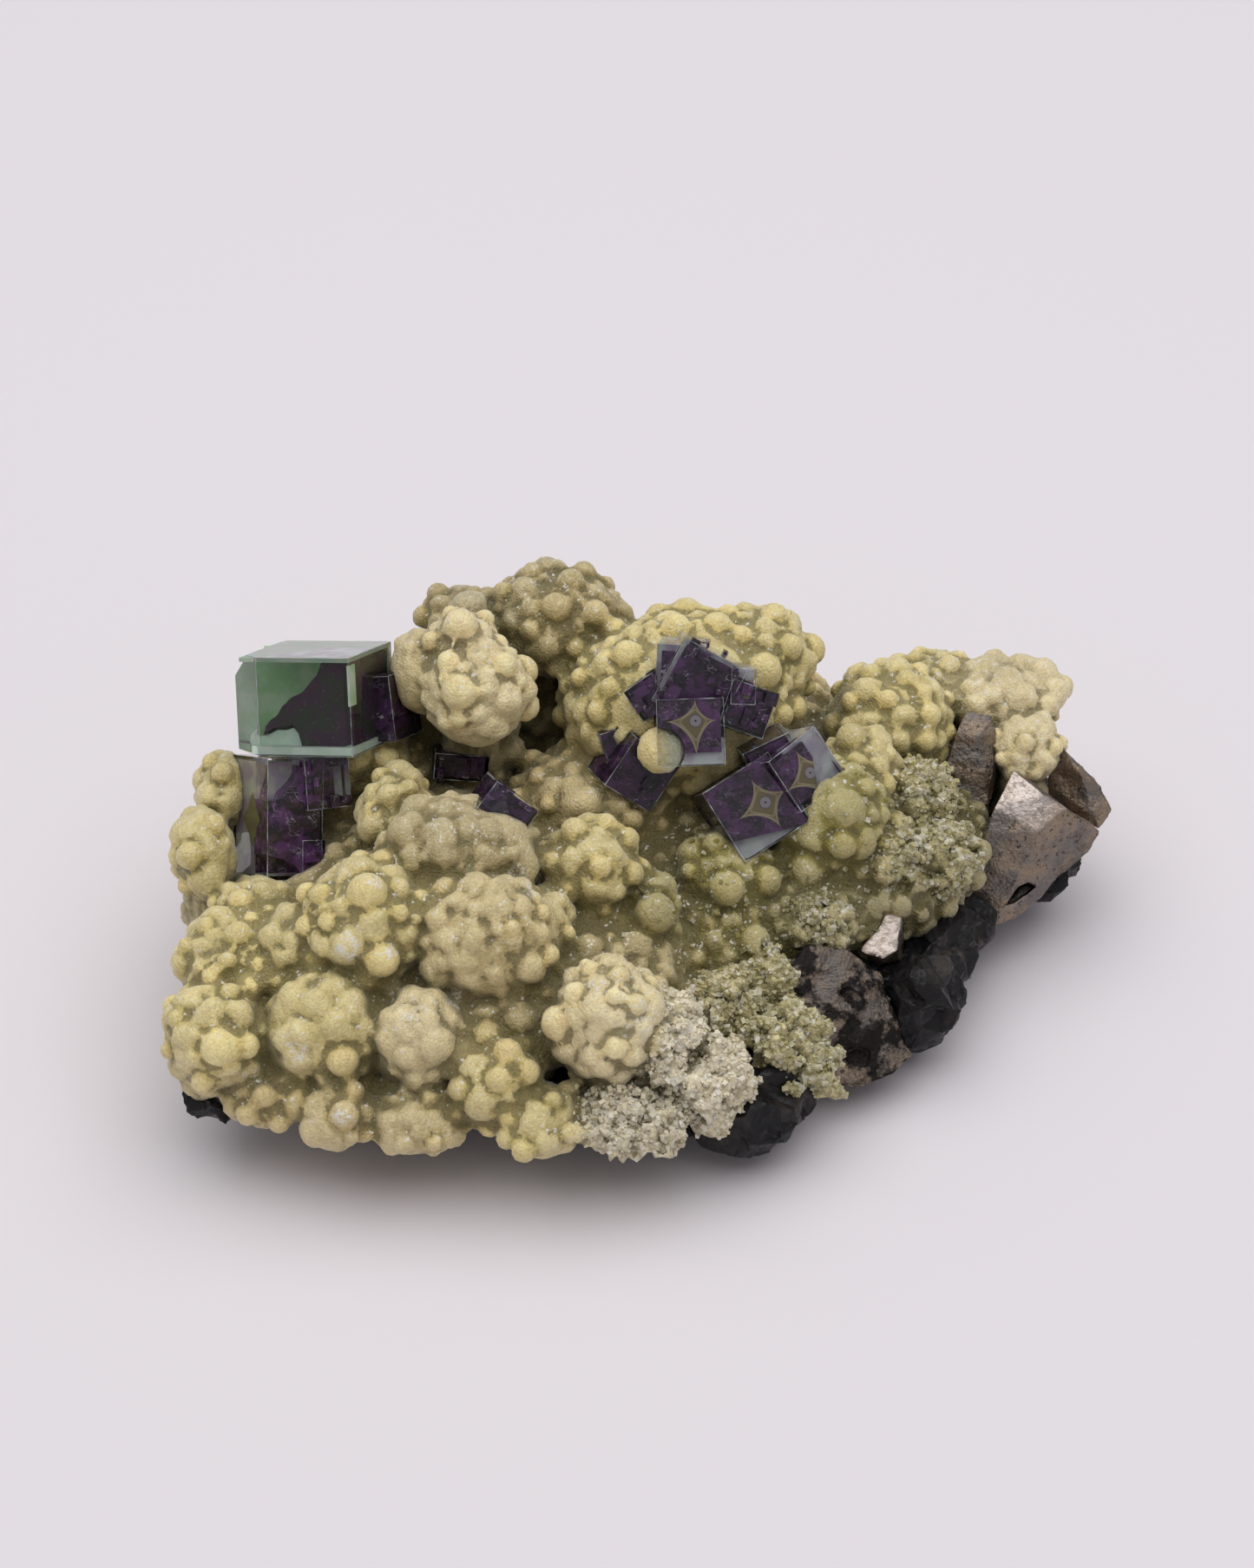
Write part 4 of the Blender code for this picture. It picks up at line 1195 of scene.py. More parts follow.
@dataclass
class Crust:
    """The botryoidal crust of dolomite, from its masses down to its grains.

    Attributes:
        floor: Where the crust's roots stand on the rock.
        waist: How slim the roots are beside the masses that they carry.
        voxel: How fine the fused skin is.
        triangles: The most triangles that the skin keeps.
        least_height: No pearl stands lower than this.
        upright: The roots of masses that stand higher above the floor than this lean back.
        lean: How far they lean back, as a share of the height above that.
        root_painted_shade: How dark the roots are painted beside the masses that they carry, as painted shade between
            the masses.
        dust: How thickly loose grains lie at most.
        masses: Every mass: its middle, radii, pearls and colour.
        pearls: The pearls that stand out, as middle and radius.
    """

    floor: float = 8.5 * MM
    waist: float = 0.72
    voxel: float = 0.40 * MM * ZOOM.value
    triangles: int = 176000
    least_height: float = 7 * MM
    upright: float = 20 * MM
    lean: float = 0.9
    root_painted_shade: float = 0.42
    dust: float = 0.06
    masses: Masses = field(default_factory=list)
    pearls: list = field(default_factory=list)

    def __post_init__(self) -> None:
        """Work out where every mass is."""
        for lobe in LOBES.values():
            middle = SIGHT.at_height(lobe.column, lobe.row, lobe.height)
            self.masses.append((middle, Vector(lobe.radii) * MM, lobe.pearls, lobe.tone.value))
        for lobe in HIDDEN_LOBES.values():
            self.masses.append((Vector(lobe.place) * MM, Vector(lobe.radii) * MM, lobe.pearls, lobe.tone.value))

    def roots(self) -> Masses:
        """What carries each mass down to the rock."""
        found = []
        for middle, radii, pearls, tone in self.masses:
            depth = middle.z - self.floor
            if depth > 0:
                back = max(depth - self.upright, 0) * self.lean
                place = Vector((middle.x, middle.y + back, self.floor + depth / 2))
                size = Vector((radii.x * self.waist, radii.y * self.waist, depth / 2 + 2 * MM))
                found.append((place, size, pearls, tone))
        return found

    def spread(self, crystals: list[Fluorite], taken: list, masses: Masses, layer: Layer) -> list:
        """Spread pearls over masses on a golden spiral, where nothing else stands already.

        Args:
            crystals: The fluorites, which pearls keep clear of.
            taken: Pearls that are there already, as middle and radius.
            masses: What they are spread over.
            layer: How large they are and how they stand.

        Returns:
            All pearls, the new ones last.
        """
        chance = random.Random(layer.seed)
        found = list(taken)
        spots = np.full((len(found) + 9000, 3), 1e3)
        sizes = np.zeros(len(spots))
        for k, (place, radius) in enumerate(found):
            spots[k], sizes[k] = place, radius
        centres, extents = np.array([m[0] for m in masses]), np.array([m[1] for m in masses])
        narrow = extents.min(axis=1)
        for index, (middle, radii, own, _) in enumerate(masses):
            least, most = layer.sizes or own
            area = 4 * math.pi * ((radii.x * radii.y * radii.z) ** (2 / 3))
            count = int(area / (layer.spacing * (least + most) / 2 * MM) ** 2)
            for k in range(count):
                up = 1 - 2 * (k + 0.5) / count
                ring, angle = math.sqrt(1 - up * up), GOLDEN * k + chance.uniform(-0.3, 0.3)
                reach = np.array((ring * math.cos(angle), ring * math.sin(angle), up)) * extents[index]
                radius = chance.uniform(least, most) * MM
                point = centres[index] + reach
                if point[2] < self.least_height or up < -0.45 or radius < layer.least * MM:
                    continue
                inside = (((point - centres) / extents) ** 2).sum(axis=1)
                inside[index] = 9
                if (inside < np.maximum(1 + layer.clear * radius / narrow, 0) ** 2).any():
                    continue
                point = point - reach / np.linalg.norm(reach) * radius * layer.sunk
                gaps = ((spots[: len(found)] - point) ** 2).sum(axis=1)
                if (gaps < (layer.crowding * (radius + sizes[: len(found)])) ** 2).any():
                    continue
                if not any(crystal.hides(Vector(point), radius) for crystal in crystals):
                    spots[len(found)], sizes[len(found)] = point, radius
                    found.append((Vector(point), radius))
        return found

    def gather_pearls(self, crystals: list[Fluorite]) -> list[tuple[Vector, float]]:
        """Every pearl: those that stand out, which are kept, and the lower ones between them."""
        found = [(meeting_point(p.column, p.row, self.masses), p.radius * MM) for p in PEARLS]
        self.pearls = found = self.spread(crystals, found, self.masses, LAYERS[0])
        everywhere = self.masses + self.roots()
        for layer in LAYERS[1:]:
            found = self.spread(crystals, found, everywhere, layer)
        return found

    def find_pearls(self, spots: np.ndarray) -> tuple[np.ndarray, np.ndarray]:
        """Which places lie on a pearl that stands out, and a chance number of that pearl's own."""
        tree = KDTree(len(self.pearls))
        for k, (middle, _) in enumerate(self.pearls):
            tree.insert(middle, k)
        tree.balance()
        chance = random.Random(5)
        kinds = [chance.random() for _ in self.pearls]
        on, kind = np.zeros(len(spots)), np.full(len(spots), 0.5)
        for place, spot in enumerate(spots):
            best = min(tree.find_n(spot, 3), key=lambda near: near[2] / self.pearls[near[1]][1])
            share = best[2] / self.pearls[best[1]][1]
            on[place] = min(max((1.22 - share) / 0.16, 0), 1)
            kind[place] = kinds[best[1]]
        return on, kind

    def pearl_nodes(self) -> NodeTree:
        """Geometry Nodes that put a ball of its own radius on every point."""
        graph, given, result = geometry_group("Pearls", {"Divisions": "NodeSocketInt"})
        sphere = graph.add("GeometryNodeMeshIcoSphere", {"Radius": 1.0, "Subdivisions": given["Divisions"]})
        inputs = {"Points": given["Geometry"], "Instance": sphere.outputs[0], "Scale": graph.kept("radius")}
        return finish_nodes(graph, graph.add("GeometryNodeInstanceOnPoints", inputs), given, result)

    def facet_height(self, graph: Graph, where: object, size: object) -> object:
        """The height in metres of broken facets, each tilted in a way of its own."""
        cell = graph.cells(where, graph.math("DIVIDE", 1.0, size))
        inputs = {0: cell["Color"], 1: (0.5, 0.5, 0.5)}
        tilt = graph.add("ShaderNodeVectorMath", inputs, operation="SUBTRACT").outputs[0]
        arm = graph.add("ShaderNodeVectorMath", {0: where, 1: cell["Position"]}, operation="SUBTRACT").outputs[0]
        slope = graph.add("ShaderNodeVectorMath", {0: arm, 1: tilt}, operation="DOT_PRODUCT").outputs["Value"]
        level = graph.add("ShaderNodeSeparateXYZ", {0: tilt}).outputs[0]
        level = graph.times(graph.times(level, size), 0.55)
        return graph.plus(graph.times(slope, 1.6), level)

    def relief_nodes(self) -> NodeTree:
        """Geometry Nodes that raise small knobs and grains on the skin."""
        forms = [(f"{form} size", f"{form} height") for form in ("Bud", "Knob", "Grain")]
        takes = floats(*(name for form in forms for name in form), "Facet size")
        graph, given, result = geometry_group("Relief", takes)
        where = graph.add("GeometryNodeInputPosition").outputs[0]
        normal = graph.add("GeometryNodeInputNormal").outputs[0]
        pearl, broken = graph.kept("pearl"), graph.kept("broken")
        whole = graph.less(1.0, broken)
        total = graph.times(graph.times(pearl, given["Knob height"]), 0.6)
        for size, height in forms:
            cell = graph.cells(where, graph.math("DIVIDE", 1.0, given[size]))
            away = graph.math("POWER", graph.math("DIVIDE", cell["Distance"], 0.8), 2.0)
            dome = graph.math("SQRT", graph.math("MAXIMUM", graph.less(1.0, away), 0.0))
            if size != "Grain size":
                dome = graph.times(dome, graph.less(1.0, pearl))
            part = graph.times(graph.less(dome, 0.6), given[height])
            total = graph.plus(total, graph.times(part, whole))
        facets = self.facet_height(graph, where, given["Facet size"])
        total = graph.plus(total, graph.times(facets, broken))
        offset = graph.add("ShaderNodeVectorMath", {0: normal, "Scale": total}, operation="SCALE").outputs[0]
        moved = graph.add("GeometryNodeSetPosition", {"Geometry": given["Geometry"], "Offset": offset})
        return finish_nodes(graph, moved, given, result)

    def build(self, crystals: list[Fluorite], neighbours: list[str], finish: Material) -> Object:
        """Build the crust.

        Args:
            crystals: The fluorites that it grew round.
            neighbours: Solids of the frame that it gives way to.
            finish: Its material.

        Returns:
            The finished piece.
        """
        mesh = bmesh.new()
        for middle, radii, _, _ in self.masses + self.roots():
            ball(mesh, middle, radii, 4)
        found = self.gather_pearls(crystals)
        LOG.info("pearls: %d", len(found))
        points = bpy.data.meshes.new("pearls")
        points.from_pydata([p for p, _ in found], [], [])
        keep_value(points, "radius", np.array([r for _, r in found]))
        pearls = link("pearls", points)
        run_nodes(pearls, self.pearl_nodes(), {"Divisions": 3, "Finish": finish})
        mesh.from_mesh(pearls.data)
        bpy.data.objects.remove(pearls)
        crust = object_from(mesh, "dolomite_crust_finish")
        remesh(crust, self.voxel, self.triangles)
        keep_value(crust.data, "pearl", self.find_pearls(spots_of(crust.data))[0])
        keep_value(crust.data, "broken", self.brokenness(spots_of(crust.data)))
        values = {
            "Bud size": 3.4 * MM,
            "Bud height": 0.55 * MM,
            "Knob size": 1.35 * MM,
            "Knob height": 0.30 * MM,
            "Grain size": 0.75 * MM,
            "Grain height": 0.12 * MM,
            "Facet size": 1.5 * MM,
            "Finish": finish,
        }
        run_nodes(crust, self.relief_nodes(), values)
        for name in ("pearl", "broken"):
            crust.data.attributes.remove(crust.data.attributes[name])
        for cutter in [c for crystal in crystals for c in crystal.cutters(0.04 * MM)]:
            combine(crust, cutter, "DIFFERENCE")
        for node in neighbours:
            combine(crust, node_copy(node, "hull"), "DIFFERENCE")
        return crust

    def sugar_nodes(self) -> NodeTree:
        """Geometry Nodes that strew small rhombs where the skin is sugary."""
        takes = {**floats("Density", "Least", "Most"), "Seed": "NodeSocketInt"}
        graph, given, result = geometry_group("Sugar", takes)
        dense = graph.times(graph.kept("sugar"), given["Density"])
        inputs = {"Mesh": given["Geometry"], "Density": dense, "Seed": given["Seed"]}
        strewn = graph.add("GeometryNodeDistributePointsOnFaces", inputs)
        rhomb = graph.add("GeometryNodeMeshCube", {"Size": (1.0, 0.8, 1.25)})
        kinds = {"data_type": "FLOAT_VECTOR"}
        turn = graph.add("FunctionNodeRandomValue", {1: (6.283, 6.283, 6.283), "Seed": 3}, **kinds)
        luck = graph.add("FunctionNodeRandomValue", {2: 0.0, 3: 1.0, "Seed": 4}, data_type="FLOAT").outputs[1]
        span = graph.less(given["Most"], given["Least"])
        size = graph.plus(given["Least"], graph.times(graph.math("POWER", luck, 2.5), span))
        inputs = {"Points": strewn.outputs[0], "Instance": rhomb.outputs[0], "Rotation": turn.outputs[0]}
        placed = graph.add("GeometryNodeInstanceOnPoints", {**inputs, "Scale": size})
        return finish_nodes(graph, placed, given, result)

    def brokenness(self, spots: np.ndarray) -> np.ndarray:
        """How far each place belongs to a broken ledge rather than to a rounded lobe."""
        total, weight = np.zeros(len(spots)), np.zeros(len(spots))
        rough = {Tone.SUGAR.value, Tone.GLASSY.value}
        for middle, radii, _, tone in self.masses:
            share = nearness(spots, middle, radii, 0.6 * MM)
            total += share * (tone in rough)
            weight += share
        return np.clip(total / weight * 1.8 - 0.4, 0, 1)

    def dusting(self, spots: np.ndarray) -> np.ndarray:
        """How thickly loose grains lie in the hollow at the right, where the photograph shows them."""
        found = np.zeros(len(spots))
        for column, row, height, reach in DUST:
            away = np.linalg.norm(spots - np.array(SIGHT.at_height(column, row, height)), axis=1) / (reach * MM)
            found = np.maximum(found, self.dust * np.clip(1.5 - away, 0, 1))
        return found

    def strew_sugar(self, crust: Object, finish: Material) -> None:
        """Strew the small crystals of the broken ledges over the crust."""
        data = crust.data.copy()
        spots, rise = spots_of(data), normals_of(data)[:, 2]
        cloud = np.array([noise.fractal(Vector(spot) * 330, 0.8, 2.0, 3) for spot in spots])
        thick = self.brokenness(spots) * np.clip(cloud * 1.6 + 0.75, 0.1, 1) + self.dusting(spots)
        keep_value(data, "sugar", thick * np.clip(rise + 0.5, 0, 1))
        sugar = link("dolomite_sugar", data)
        values = {"Density": 9.0e6, "Least": 0.14 * MM, "Most": 0.6 * MM, "Seed": 7, "Finish": finish}
        run_nodes(sugar, self.sugar_nodes(), values)
        for name in [a.name for a in sugar.data.attributes if a.name in ("open", "crest", "knob", "frost", "broken")]:
            sugar.data.attributes.remove(sugar.data.attributes[name])
        hand_over(sugar, "dolomite")

    def colour_masses(self, spots: np.ndarray) -> np.ndarray:
        """The body colour at each place, blended between the masses that are near it, with painted shade on the roots.
        """
        total, weight = np.zeros((len(spots), 3)), np.zeros(len(spots))
        # Painted shade: the roots are darker than the masses that they carry
        roots = [(middle, radii, _, np.array(tone) * self.root_painted_shade) for middle, radii, _, tone in self.roots()]
        for middle, radii, _, tone in self.masses + roots:
            share = nearness(spots, middle, radii, 0.7 * MM)
            total += share[:, None] * np.array(tone)
            weight += share
        return total / weight[:, None]

    def frost_on(self, crust: Object, spots: np.ndarray) -> np.ndarray:
        """How frosted each vertex is, from the patches that the photograph shows."""
        tree, found = tree_of(crust), np.zeros(len(spots))
        for patch in FROST:
            hit = tree.ray_cast(SIGHT.eye(), SIGHT.way(patch.column, patch.row))[0]
            if hit is not None:
                away = np.linalg.norm(spots - np.array(hit), axis=1) / (patch.reach * MM)
                found = np.maximum(found, patch.strength * np.clip(1.4 - away, 0, 1))
        return found

    def dress(self, crust: Object) -> None:
        """Write the crust's body colours with painted shade on its roots, its crests, its hollows and its frost on its
        vertices.
        """
        data = crust.data
        spots, normals = spots_of(data), normals_of(data)
        crest = np.einsum("ij,ij->i", spots - smoothed(data, spots, 10), normals) / (0.22 * MM)
        knob = np.einsum("ij,ij->i", spots - smoothed(data, spots, 60), normals) / (0.8 * MM)
        keep_value(data, "crest", np.clip(crest, -1, 1))
        keep_value(data, "knob", np.clip(knob, -1, 1))
        # How open each place is: the finish paints shade where the skin is closed in
        keep_value(data, "open", openness(crust, 7 * MM))
        keep_value(data, "body", self.colour_masses(spots))
        keep_value(data, "frost", self.frost_on(crust, spots))
        keep_value(data, "broken", self.brokenness(spots))
        on, kind = self.find_pearls(spots)
        keep_value(data, "pearl", on)
        keep_value(data, "kind", kind)
        smooth_shade(crust)
        hand_over(crust, "dolomite", "dolomite_crust")


def grain_group() -> NodeTree:
    """A shader group that gives the height and the glints of fine grains."""
    takes = {"Place": "NodeSocketVector", **floats("Size")}
    graph, given, result = new_group("Grains", "ShaderNodeTree", takes, floats("Height", "Glint", "Speck"))
    scale = graph.math("DIVIDE", 1.0, given["Size"])
    coarse = graph.cells(given["Place"], scale)
    double = graph.times(scale, 2.3)
    fine = graph.add("ShaderNodeTexNoise", {"Vector": given["Place"], "Scale": double, "Detail": 3.0})
    hill = graph.less(1.0, coarse["Distance"])
    height = graph.plus(graph.times(hill, 0.7), graph.times(fine.outputs[0], 0.5))
    graph.feed(result["Height"], height)
    cell = graph.add("ShaderNodeSeparateColor", {0: coarse["Color"]})
    graph.feed(result["Glint"], graph.rise(cell.outputs[0], 0.86, 0.9))
    graph.feed(result["Speck"], cell.outputs[1])
    return graph.tree


@dataclass(frozen=True)
class DolomiteFinish:
    """Pale, waxy dolomite, white where frosted: painted shade in hollows, partly painted highlight on crests, painted
    glints.
    """

    # Painted shade: the deep olive that is mixed in where the skin is closed in and in its creases
    hollow: Colour = (0.115, 0.100, 0.026)
    # The crests' paler colour: partly their own, partly painted highlight
    crest: Colour = (0.84, 0.77, 0.52)
    frost: Colour = (0.86, 0.83, 0.75)
    pearls: tuple[Colour, Colour] = ((0.96, 0.94, 0.80), (1.30, 1.26, 1.20))
    grain: float = 0.30 * MM
    shard: float = 0.55 * MM

    def make(self, grains: NodeTree) -> Material:
        """Build the material.

        Args:
            grains: The group that gives fine grains.

        Returns:
            The material.
        """
        material, graph, shader = new_material("dolomite")
        place = graph.place()
        grain = use_group(graph, grains, {"Place": place, "Size": self.grain})
        patch = graph.noise(place, 5 * MM, 3.0)
        mottle = graph.noise(place, 0.9 * MM, 4.0, 0.6)
        opened, crest, knob = graph.value("open"), graph.value("crest"), graph.value("knob")
        pearl, kind = graph.value("pearl"), graph.value("kind")
        body = graph.mix(pearl, graph.tint("body"), graph.mix(kind, *self.pearls), "MULTIPLY")
        # Painted shade: deep olive where the skin is closed in, then in the creases
        shade = graph.mix(graph.rise(opened, 0.92, 0.28), body, graph.mix(0.78, body, self.hollow))
        painted_crease_shade = graph.rise(graph.plus(crest, graph.times(knob, 0.5)), 0.1, -0.7, 0.0, 0.8)
        shade = graph.mix(painted_crease_shade, shade, graph.mix(0.8, body, self.hollow))
        # Paler on open crests: partly their own colour, partly painted highlight
        top = graph.times(graph.rise(crest, -0.05, 0.8), graph.rise(opened, 0.4, 0.95, 0.15, 0.8))
        pale = graph.mix(0.6, self.crest, graph.tinted(body, (1.25, 1.25, 1.25)))
        shade = graph.mix(top, shade, pale)
        tint = graph.mix(graph.rise(patch, 0.35, 0.65), (0.92, 0.90, 0.84), (1.06, 1.05, 1.04))
        shade = graph.tinted(shade, tint)
        tint = graph.mix(mottle, (0.86, 0.84, 0.78), (1.13, 1.13, 1.14))
        shade = graph.tinted(shade, tint)
        tint = graph.mix(grain["Speck"], (0.90, 0.89, 0.86), (1.09, 1.09, 1.10))
        shade = graph.tinted(shade, tint)
        broken = graph.value("broken")
        shard = graph.cells(place, 1 / self.shard)
        shard = graph.add("ShaderNodeSeparateColor", {0: shard["Color"]}).outputs
        tint = graph.mix(shard[0], (0.62, 0.60, 0.52), (1.32, 1.32, 1.34))
        shade = graph.mix(broken, shade, graph.tinted(shade, tint))
        frost = graph.plus(graph.value("frost"), graph.times(graph.less(mottle, 0.5), 2.2))
        fine = graph.noise(place, 0.32 * MM, 3.0, 0.7)
        frost = graph.plus(frost, graph.times(graph.less(fine, 0.55), 3.0))
        frost = graph.times(graph.rise(frost, 0.45, 1.3), graph.rise(crest, -0.5, 0.3, 0.4, 1.0))
        # Painted glints: white specks on the grains that face up, mixed into the colour with the frost
        up = graph.add("ShaderNodeSeparateXYZ", {0: graph.add("ShaderNodeNewGeometry").outputs["Normal"]}).outputs[2]
        painted_glint = graph.times(grain["Glint"], graph.rise(up, 0.35, 0.8))
        painted_glint = graph.times(painted_glint, graph.rise(mottle, 0.5, 0.6))
        white = graph.math("MAXIMUM", frost, graph.times(painted_glint, 0.85))
        shade = graph.mix(white, shade, self.frost)
        graph.fill(shader, {"Base Color": shade, "Roughness": graph.less(0.48, graph.times(grain["Glint"], 0.25))})
        normal = graph.bump(graph.times(shard[1], broken), 0.35 * MM, 0.8)
        looks = {
            "Normal": graph.bump(grain["Height"], 0.2 * MM, 0.9, normal), "IOR": 1.55, "Subsurface Weight": 0.35,
            "Subsurface Radius": (1.0, 0.88, 0.42), "Subsurface Scale": 0.9 * MM, "Sheen Weight": 0.3,
            "Sheen Roughness": 0.4, "Sheen Tint": (1, 0.98, 0.9, 1),
        }
        graph.fill(shader, looks)
        return material


@dataclass(frozen=True)
class GlassFinish:
    """Clear fluorite: plain transmission with its refractive index, and what its body absorbs."""

    name: str
    colour: Colour
    density: float
    roughness: float = 0.02
    index: float = 1.434

    def make(self) -> Material:
        """Build the material, and return it."""
        material, graph, shader = new_material(self.name)
        looks = {
            "Base Color": (1, 1, 1, 1), "Transmission Weight": 1, "IOR": self.index, "Roughness": self.roughness,
        }
        graph.fill(shader, looks)
        inputs = {"Color": (*self.colour, 1), "Density": self.density}
        body = graph.add("ShaderNodeVolumeAbsorption", inputs)
        output = material.node_tree.nodes["Material Output"]
        graph.feed(output.inputs["Volume"], body.outputs[0])
        return material


def star_group() -> NodeTree:
    """A shader group that draws a four-pointed growth star, its inner diamond, and the ring in its middle."""
    takes = {"Map": "NodeSocketVector", **floats("Right", "Left", "Up", "Down")}
    gives = floats("Star", "Border", "Line", "Disc", "Rim", "Dot")
    graph, given, result = new_group("Growth star", "ShaderNodeTree", takes, gives)
    axes = graph.add("ShaderNodeSeparateXYZ", {0: given["Map"]}).outputs
    reach = []
    for axis, plus, minus in ((0, "Right", "Left"), (1, "Up", "Down")):
        ahead = graph.math("DIVIDE", graph.math("MAXIMUM", axes[axis], 0.0), given[plus])
        behind = graph.math("DIVIDE", graph.math("MAXIMUM", graph.times(axes[axis], -1.0), 0.0), given[minus])
        reach.append(graph.plus(ahead, behind))
    bent = graph.plus(graph.math("POWER", reach[0], 0.62), graph.math("POWER", reach[1], 0.62))
    flat = graph.plus(*reach)
    away = graph.add("ShaderNodeVectorMath", {0: given["Map"]}, operation="LENGTH").outputs["Value"]
    graph.feed(result["Star"], graph.rise(bent, 1.03, 0.98))
    graph.feed(result["Border"], graph.rise(bent, 0.84, 0.93))
    graph.feed(result["Line"], graph.times(graph.rise(flat, 0.50, 0.53), graph.rise(flat, 0.58, 0.55)))
    graph.feed(result["Disc"], graph.rise(away, 0.72, 0.64))
    graph.feed(result["Rim"], graph.times(graph.rise(away, 0.52, 0.6), graph.rise(away, 0.76, 0.68)))
    graph.feed(result["Dot"], graph.rise(away, 0.14, 0.09))
    return graph.tree


@dataclass(frozen=True)
class CoreFinish:
    """The purple growth zones inside a cube, with stars of khaki and fine flaws, whose brightness is painted
    reflection.
    """

    name: str
    reach: tuple = (1.0, 1.0, 1.0, 1.0)
    vivid: float = 1.0
    dark: Colour = (0.016, 0.007, 0.020)
    violet: Colour = (0.090, 0.030, 0.115)
    plum: Colour = (0.14, 0.045, 0.115)
    lilac: Colour = (0.30, 0.20, 0.34)
    # The flaws' pale colour: painted reflection of the fractures
    flaw_and_painted_reflection: Colour = (0.52, 0.46, 0.58)
    khaki: Colour = (0.21, 0.165, 0.075)
    beige: Colour = (0.42, 0.36, 0.22)
    grey: Colour = (0.36, 0.33, 0.36)

    def make(self, stars: NodeTree) -> Material:
        """Build the material.

        Args:
            stars: The group that draws growth stars.

        Returns:
            The material.
        """
        material, graph, shader = new_material(self.name)
        place = graph.place()
        patch, fine = graph.noise(place, 2.2 * MM, 3.0, 0.6), graph.noise(place, 0.5 * MM, 3.0)
        tile = graph.cells(place, 1 / (1.1 * MM), distance="CHEBYCHEV")
        tile = graph.add("ShaderNodeSeparateColor", {0: tile["Color"]})
        share = graph.plus(patch, graph.times(graph.less(tile.outputs[0], 0.5), 0.28))
        violet = tuple(part * self.vivid for part in self.violet)
        shade = graph.mix(graph.rise(share, 0.38, 0.70), self.dark, violet)
        shade = graph.mix(graph.rise(fine, 0.52, 0.75, 0.0, 0.6), shade, self.plum)
        shade = graph.mix(graph.rise(graph.noise(place, 0.22 * MM, 2.0), 0.66, 0.74, 0.0, 0.5), shade, self.lilac)
        names = dict(zip(("Right", "Left", "Up", "Down"), self.reach))
        map_of = graph.add("ShaderNodeUVMap", uv_map="window").outputs[0]
        away = graph.add("ShaderNodeVectorMath", {0: map_of}, operation="LENGTH").outputs["Value"]
        mosaic = graph.rise(away, 19.0, 21.0, 0.35, 1.0)
        where = graph.noise(place, 1.6 * MM, 2.0)
        # Flaw lines: the fractures are the crystal's own, their brightness is painted reflection
        for size, turn in ((1.5, (0.4, 0.2, 0.9)), (0.8, (1.1, 0.7, 0.1))):
            bent = graph.add("ShaderNodeMapping", {"Vector": place, "Rotation": turn, "Scale": (1, 2.6, 1)}).outputs[0]
            line = graph.math("ABSOLUTE", graph.less(graph.noise(bent, size * MM, 1.0), 0.5))
            flaw_and_painted_reflection = graph.times(graph.rise(line, 0.016, 0.005), graph.rise(where, 0.52, 0.62))
            shade = graph.mix(graph.times(flaw_and_painted_reflection, mosaic), shade, self.flaw_and_painted_reflection)
        star = use_group(graph, stars, {"Map": map_of, **names})
        inside = graph.mix(star["Border"], self.khaki, self.beige)
        inside = graph.mix(star["Line"], inside, self.beige)
        inside = graph.mix(star["Disc"], inside, self.grey)
        inside = graph.mix(graph.times(star["Rim"], 0.7), inside, (0.10, 0.08, 0.09))
        inside = graph.mix(star["Dot"], inside, self.dark)
        shade = graph.mix(star["Star"], shade, inside)
        graph.feed(shader.inputs["Base Color"], shade)
        hills = graph.plus(tile.outputs[1], graph.times(fine, 1.2))
        rough = graph.less(1.0, star["Star"])
        looks = {
            "Normal": graph.bump(graph.times(hills, rough), 0.2 * MM, 0.5), "Roughness": 0.4, "IOR": 1.45,
        }
        graph.fill(shader, looks)
        return material


@dataclass(frozen=True)
class SugarFinish:
    """Small glassy crystals of dolomite: the crust's own colour, or white."""

    white: Colour = (0.80, 0.78, 0.72)

    def make(self) -> Material:
        """Build the material, and return it."""
        material, graph, shader = new_material("sugar")
        place = graph.place()
        tone = graph.rise(graph.noise(place, 0.9 * MM, 3.0), 0.42, 0.70, 0.0, 0.75)
        shade = graph.mix(tone, graph.tint("body"), self.white)
        tint = graph.mix(graph.noise(place, 0.7 * MM, 2.0), (0.72, 0.70, 0.62), (1.2, 1.2, 1.2))
        graph.fill(shader, {"Base Color": graph.tinted(shade, tint), "Roughness": 0.3, "IOR": 1.55})
        return material


@dataclass(frozen=True)
class FillingFinish:
    """A cloudy growth zone: two colours that drift into each other, with specks."""

    filling: Filling
    body: Colour
    cloud: Colour
    speck: Colour

    def make(self) -> Material:
        """Build the material, and return it."""
        material, graph, shader = new_material(self.filling.value + "_zone")
        place = graph.place()
        shade = graph.mix(graph.rise(graph.noise(place, 2.4 * MM, 3.0), 0.38, 0.62), self.body, self.cloud)
        specks = graph.rise(graph.noise(place, 0.3 * MM, 3.0, 0.6), 0.62, 0.76, 0.0, 0.7)
        looks = {
            "Base Color": graph.mix(specks, shade, self.speck), "Roughness": 0.7, "Subsurface Weight": 0.2,
            "Subsurface Scale": 0.6 * MM,
        }
        graph.fill(shader, looks)
        return material


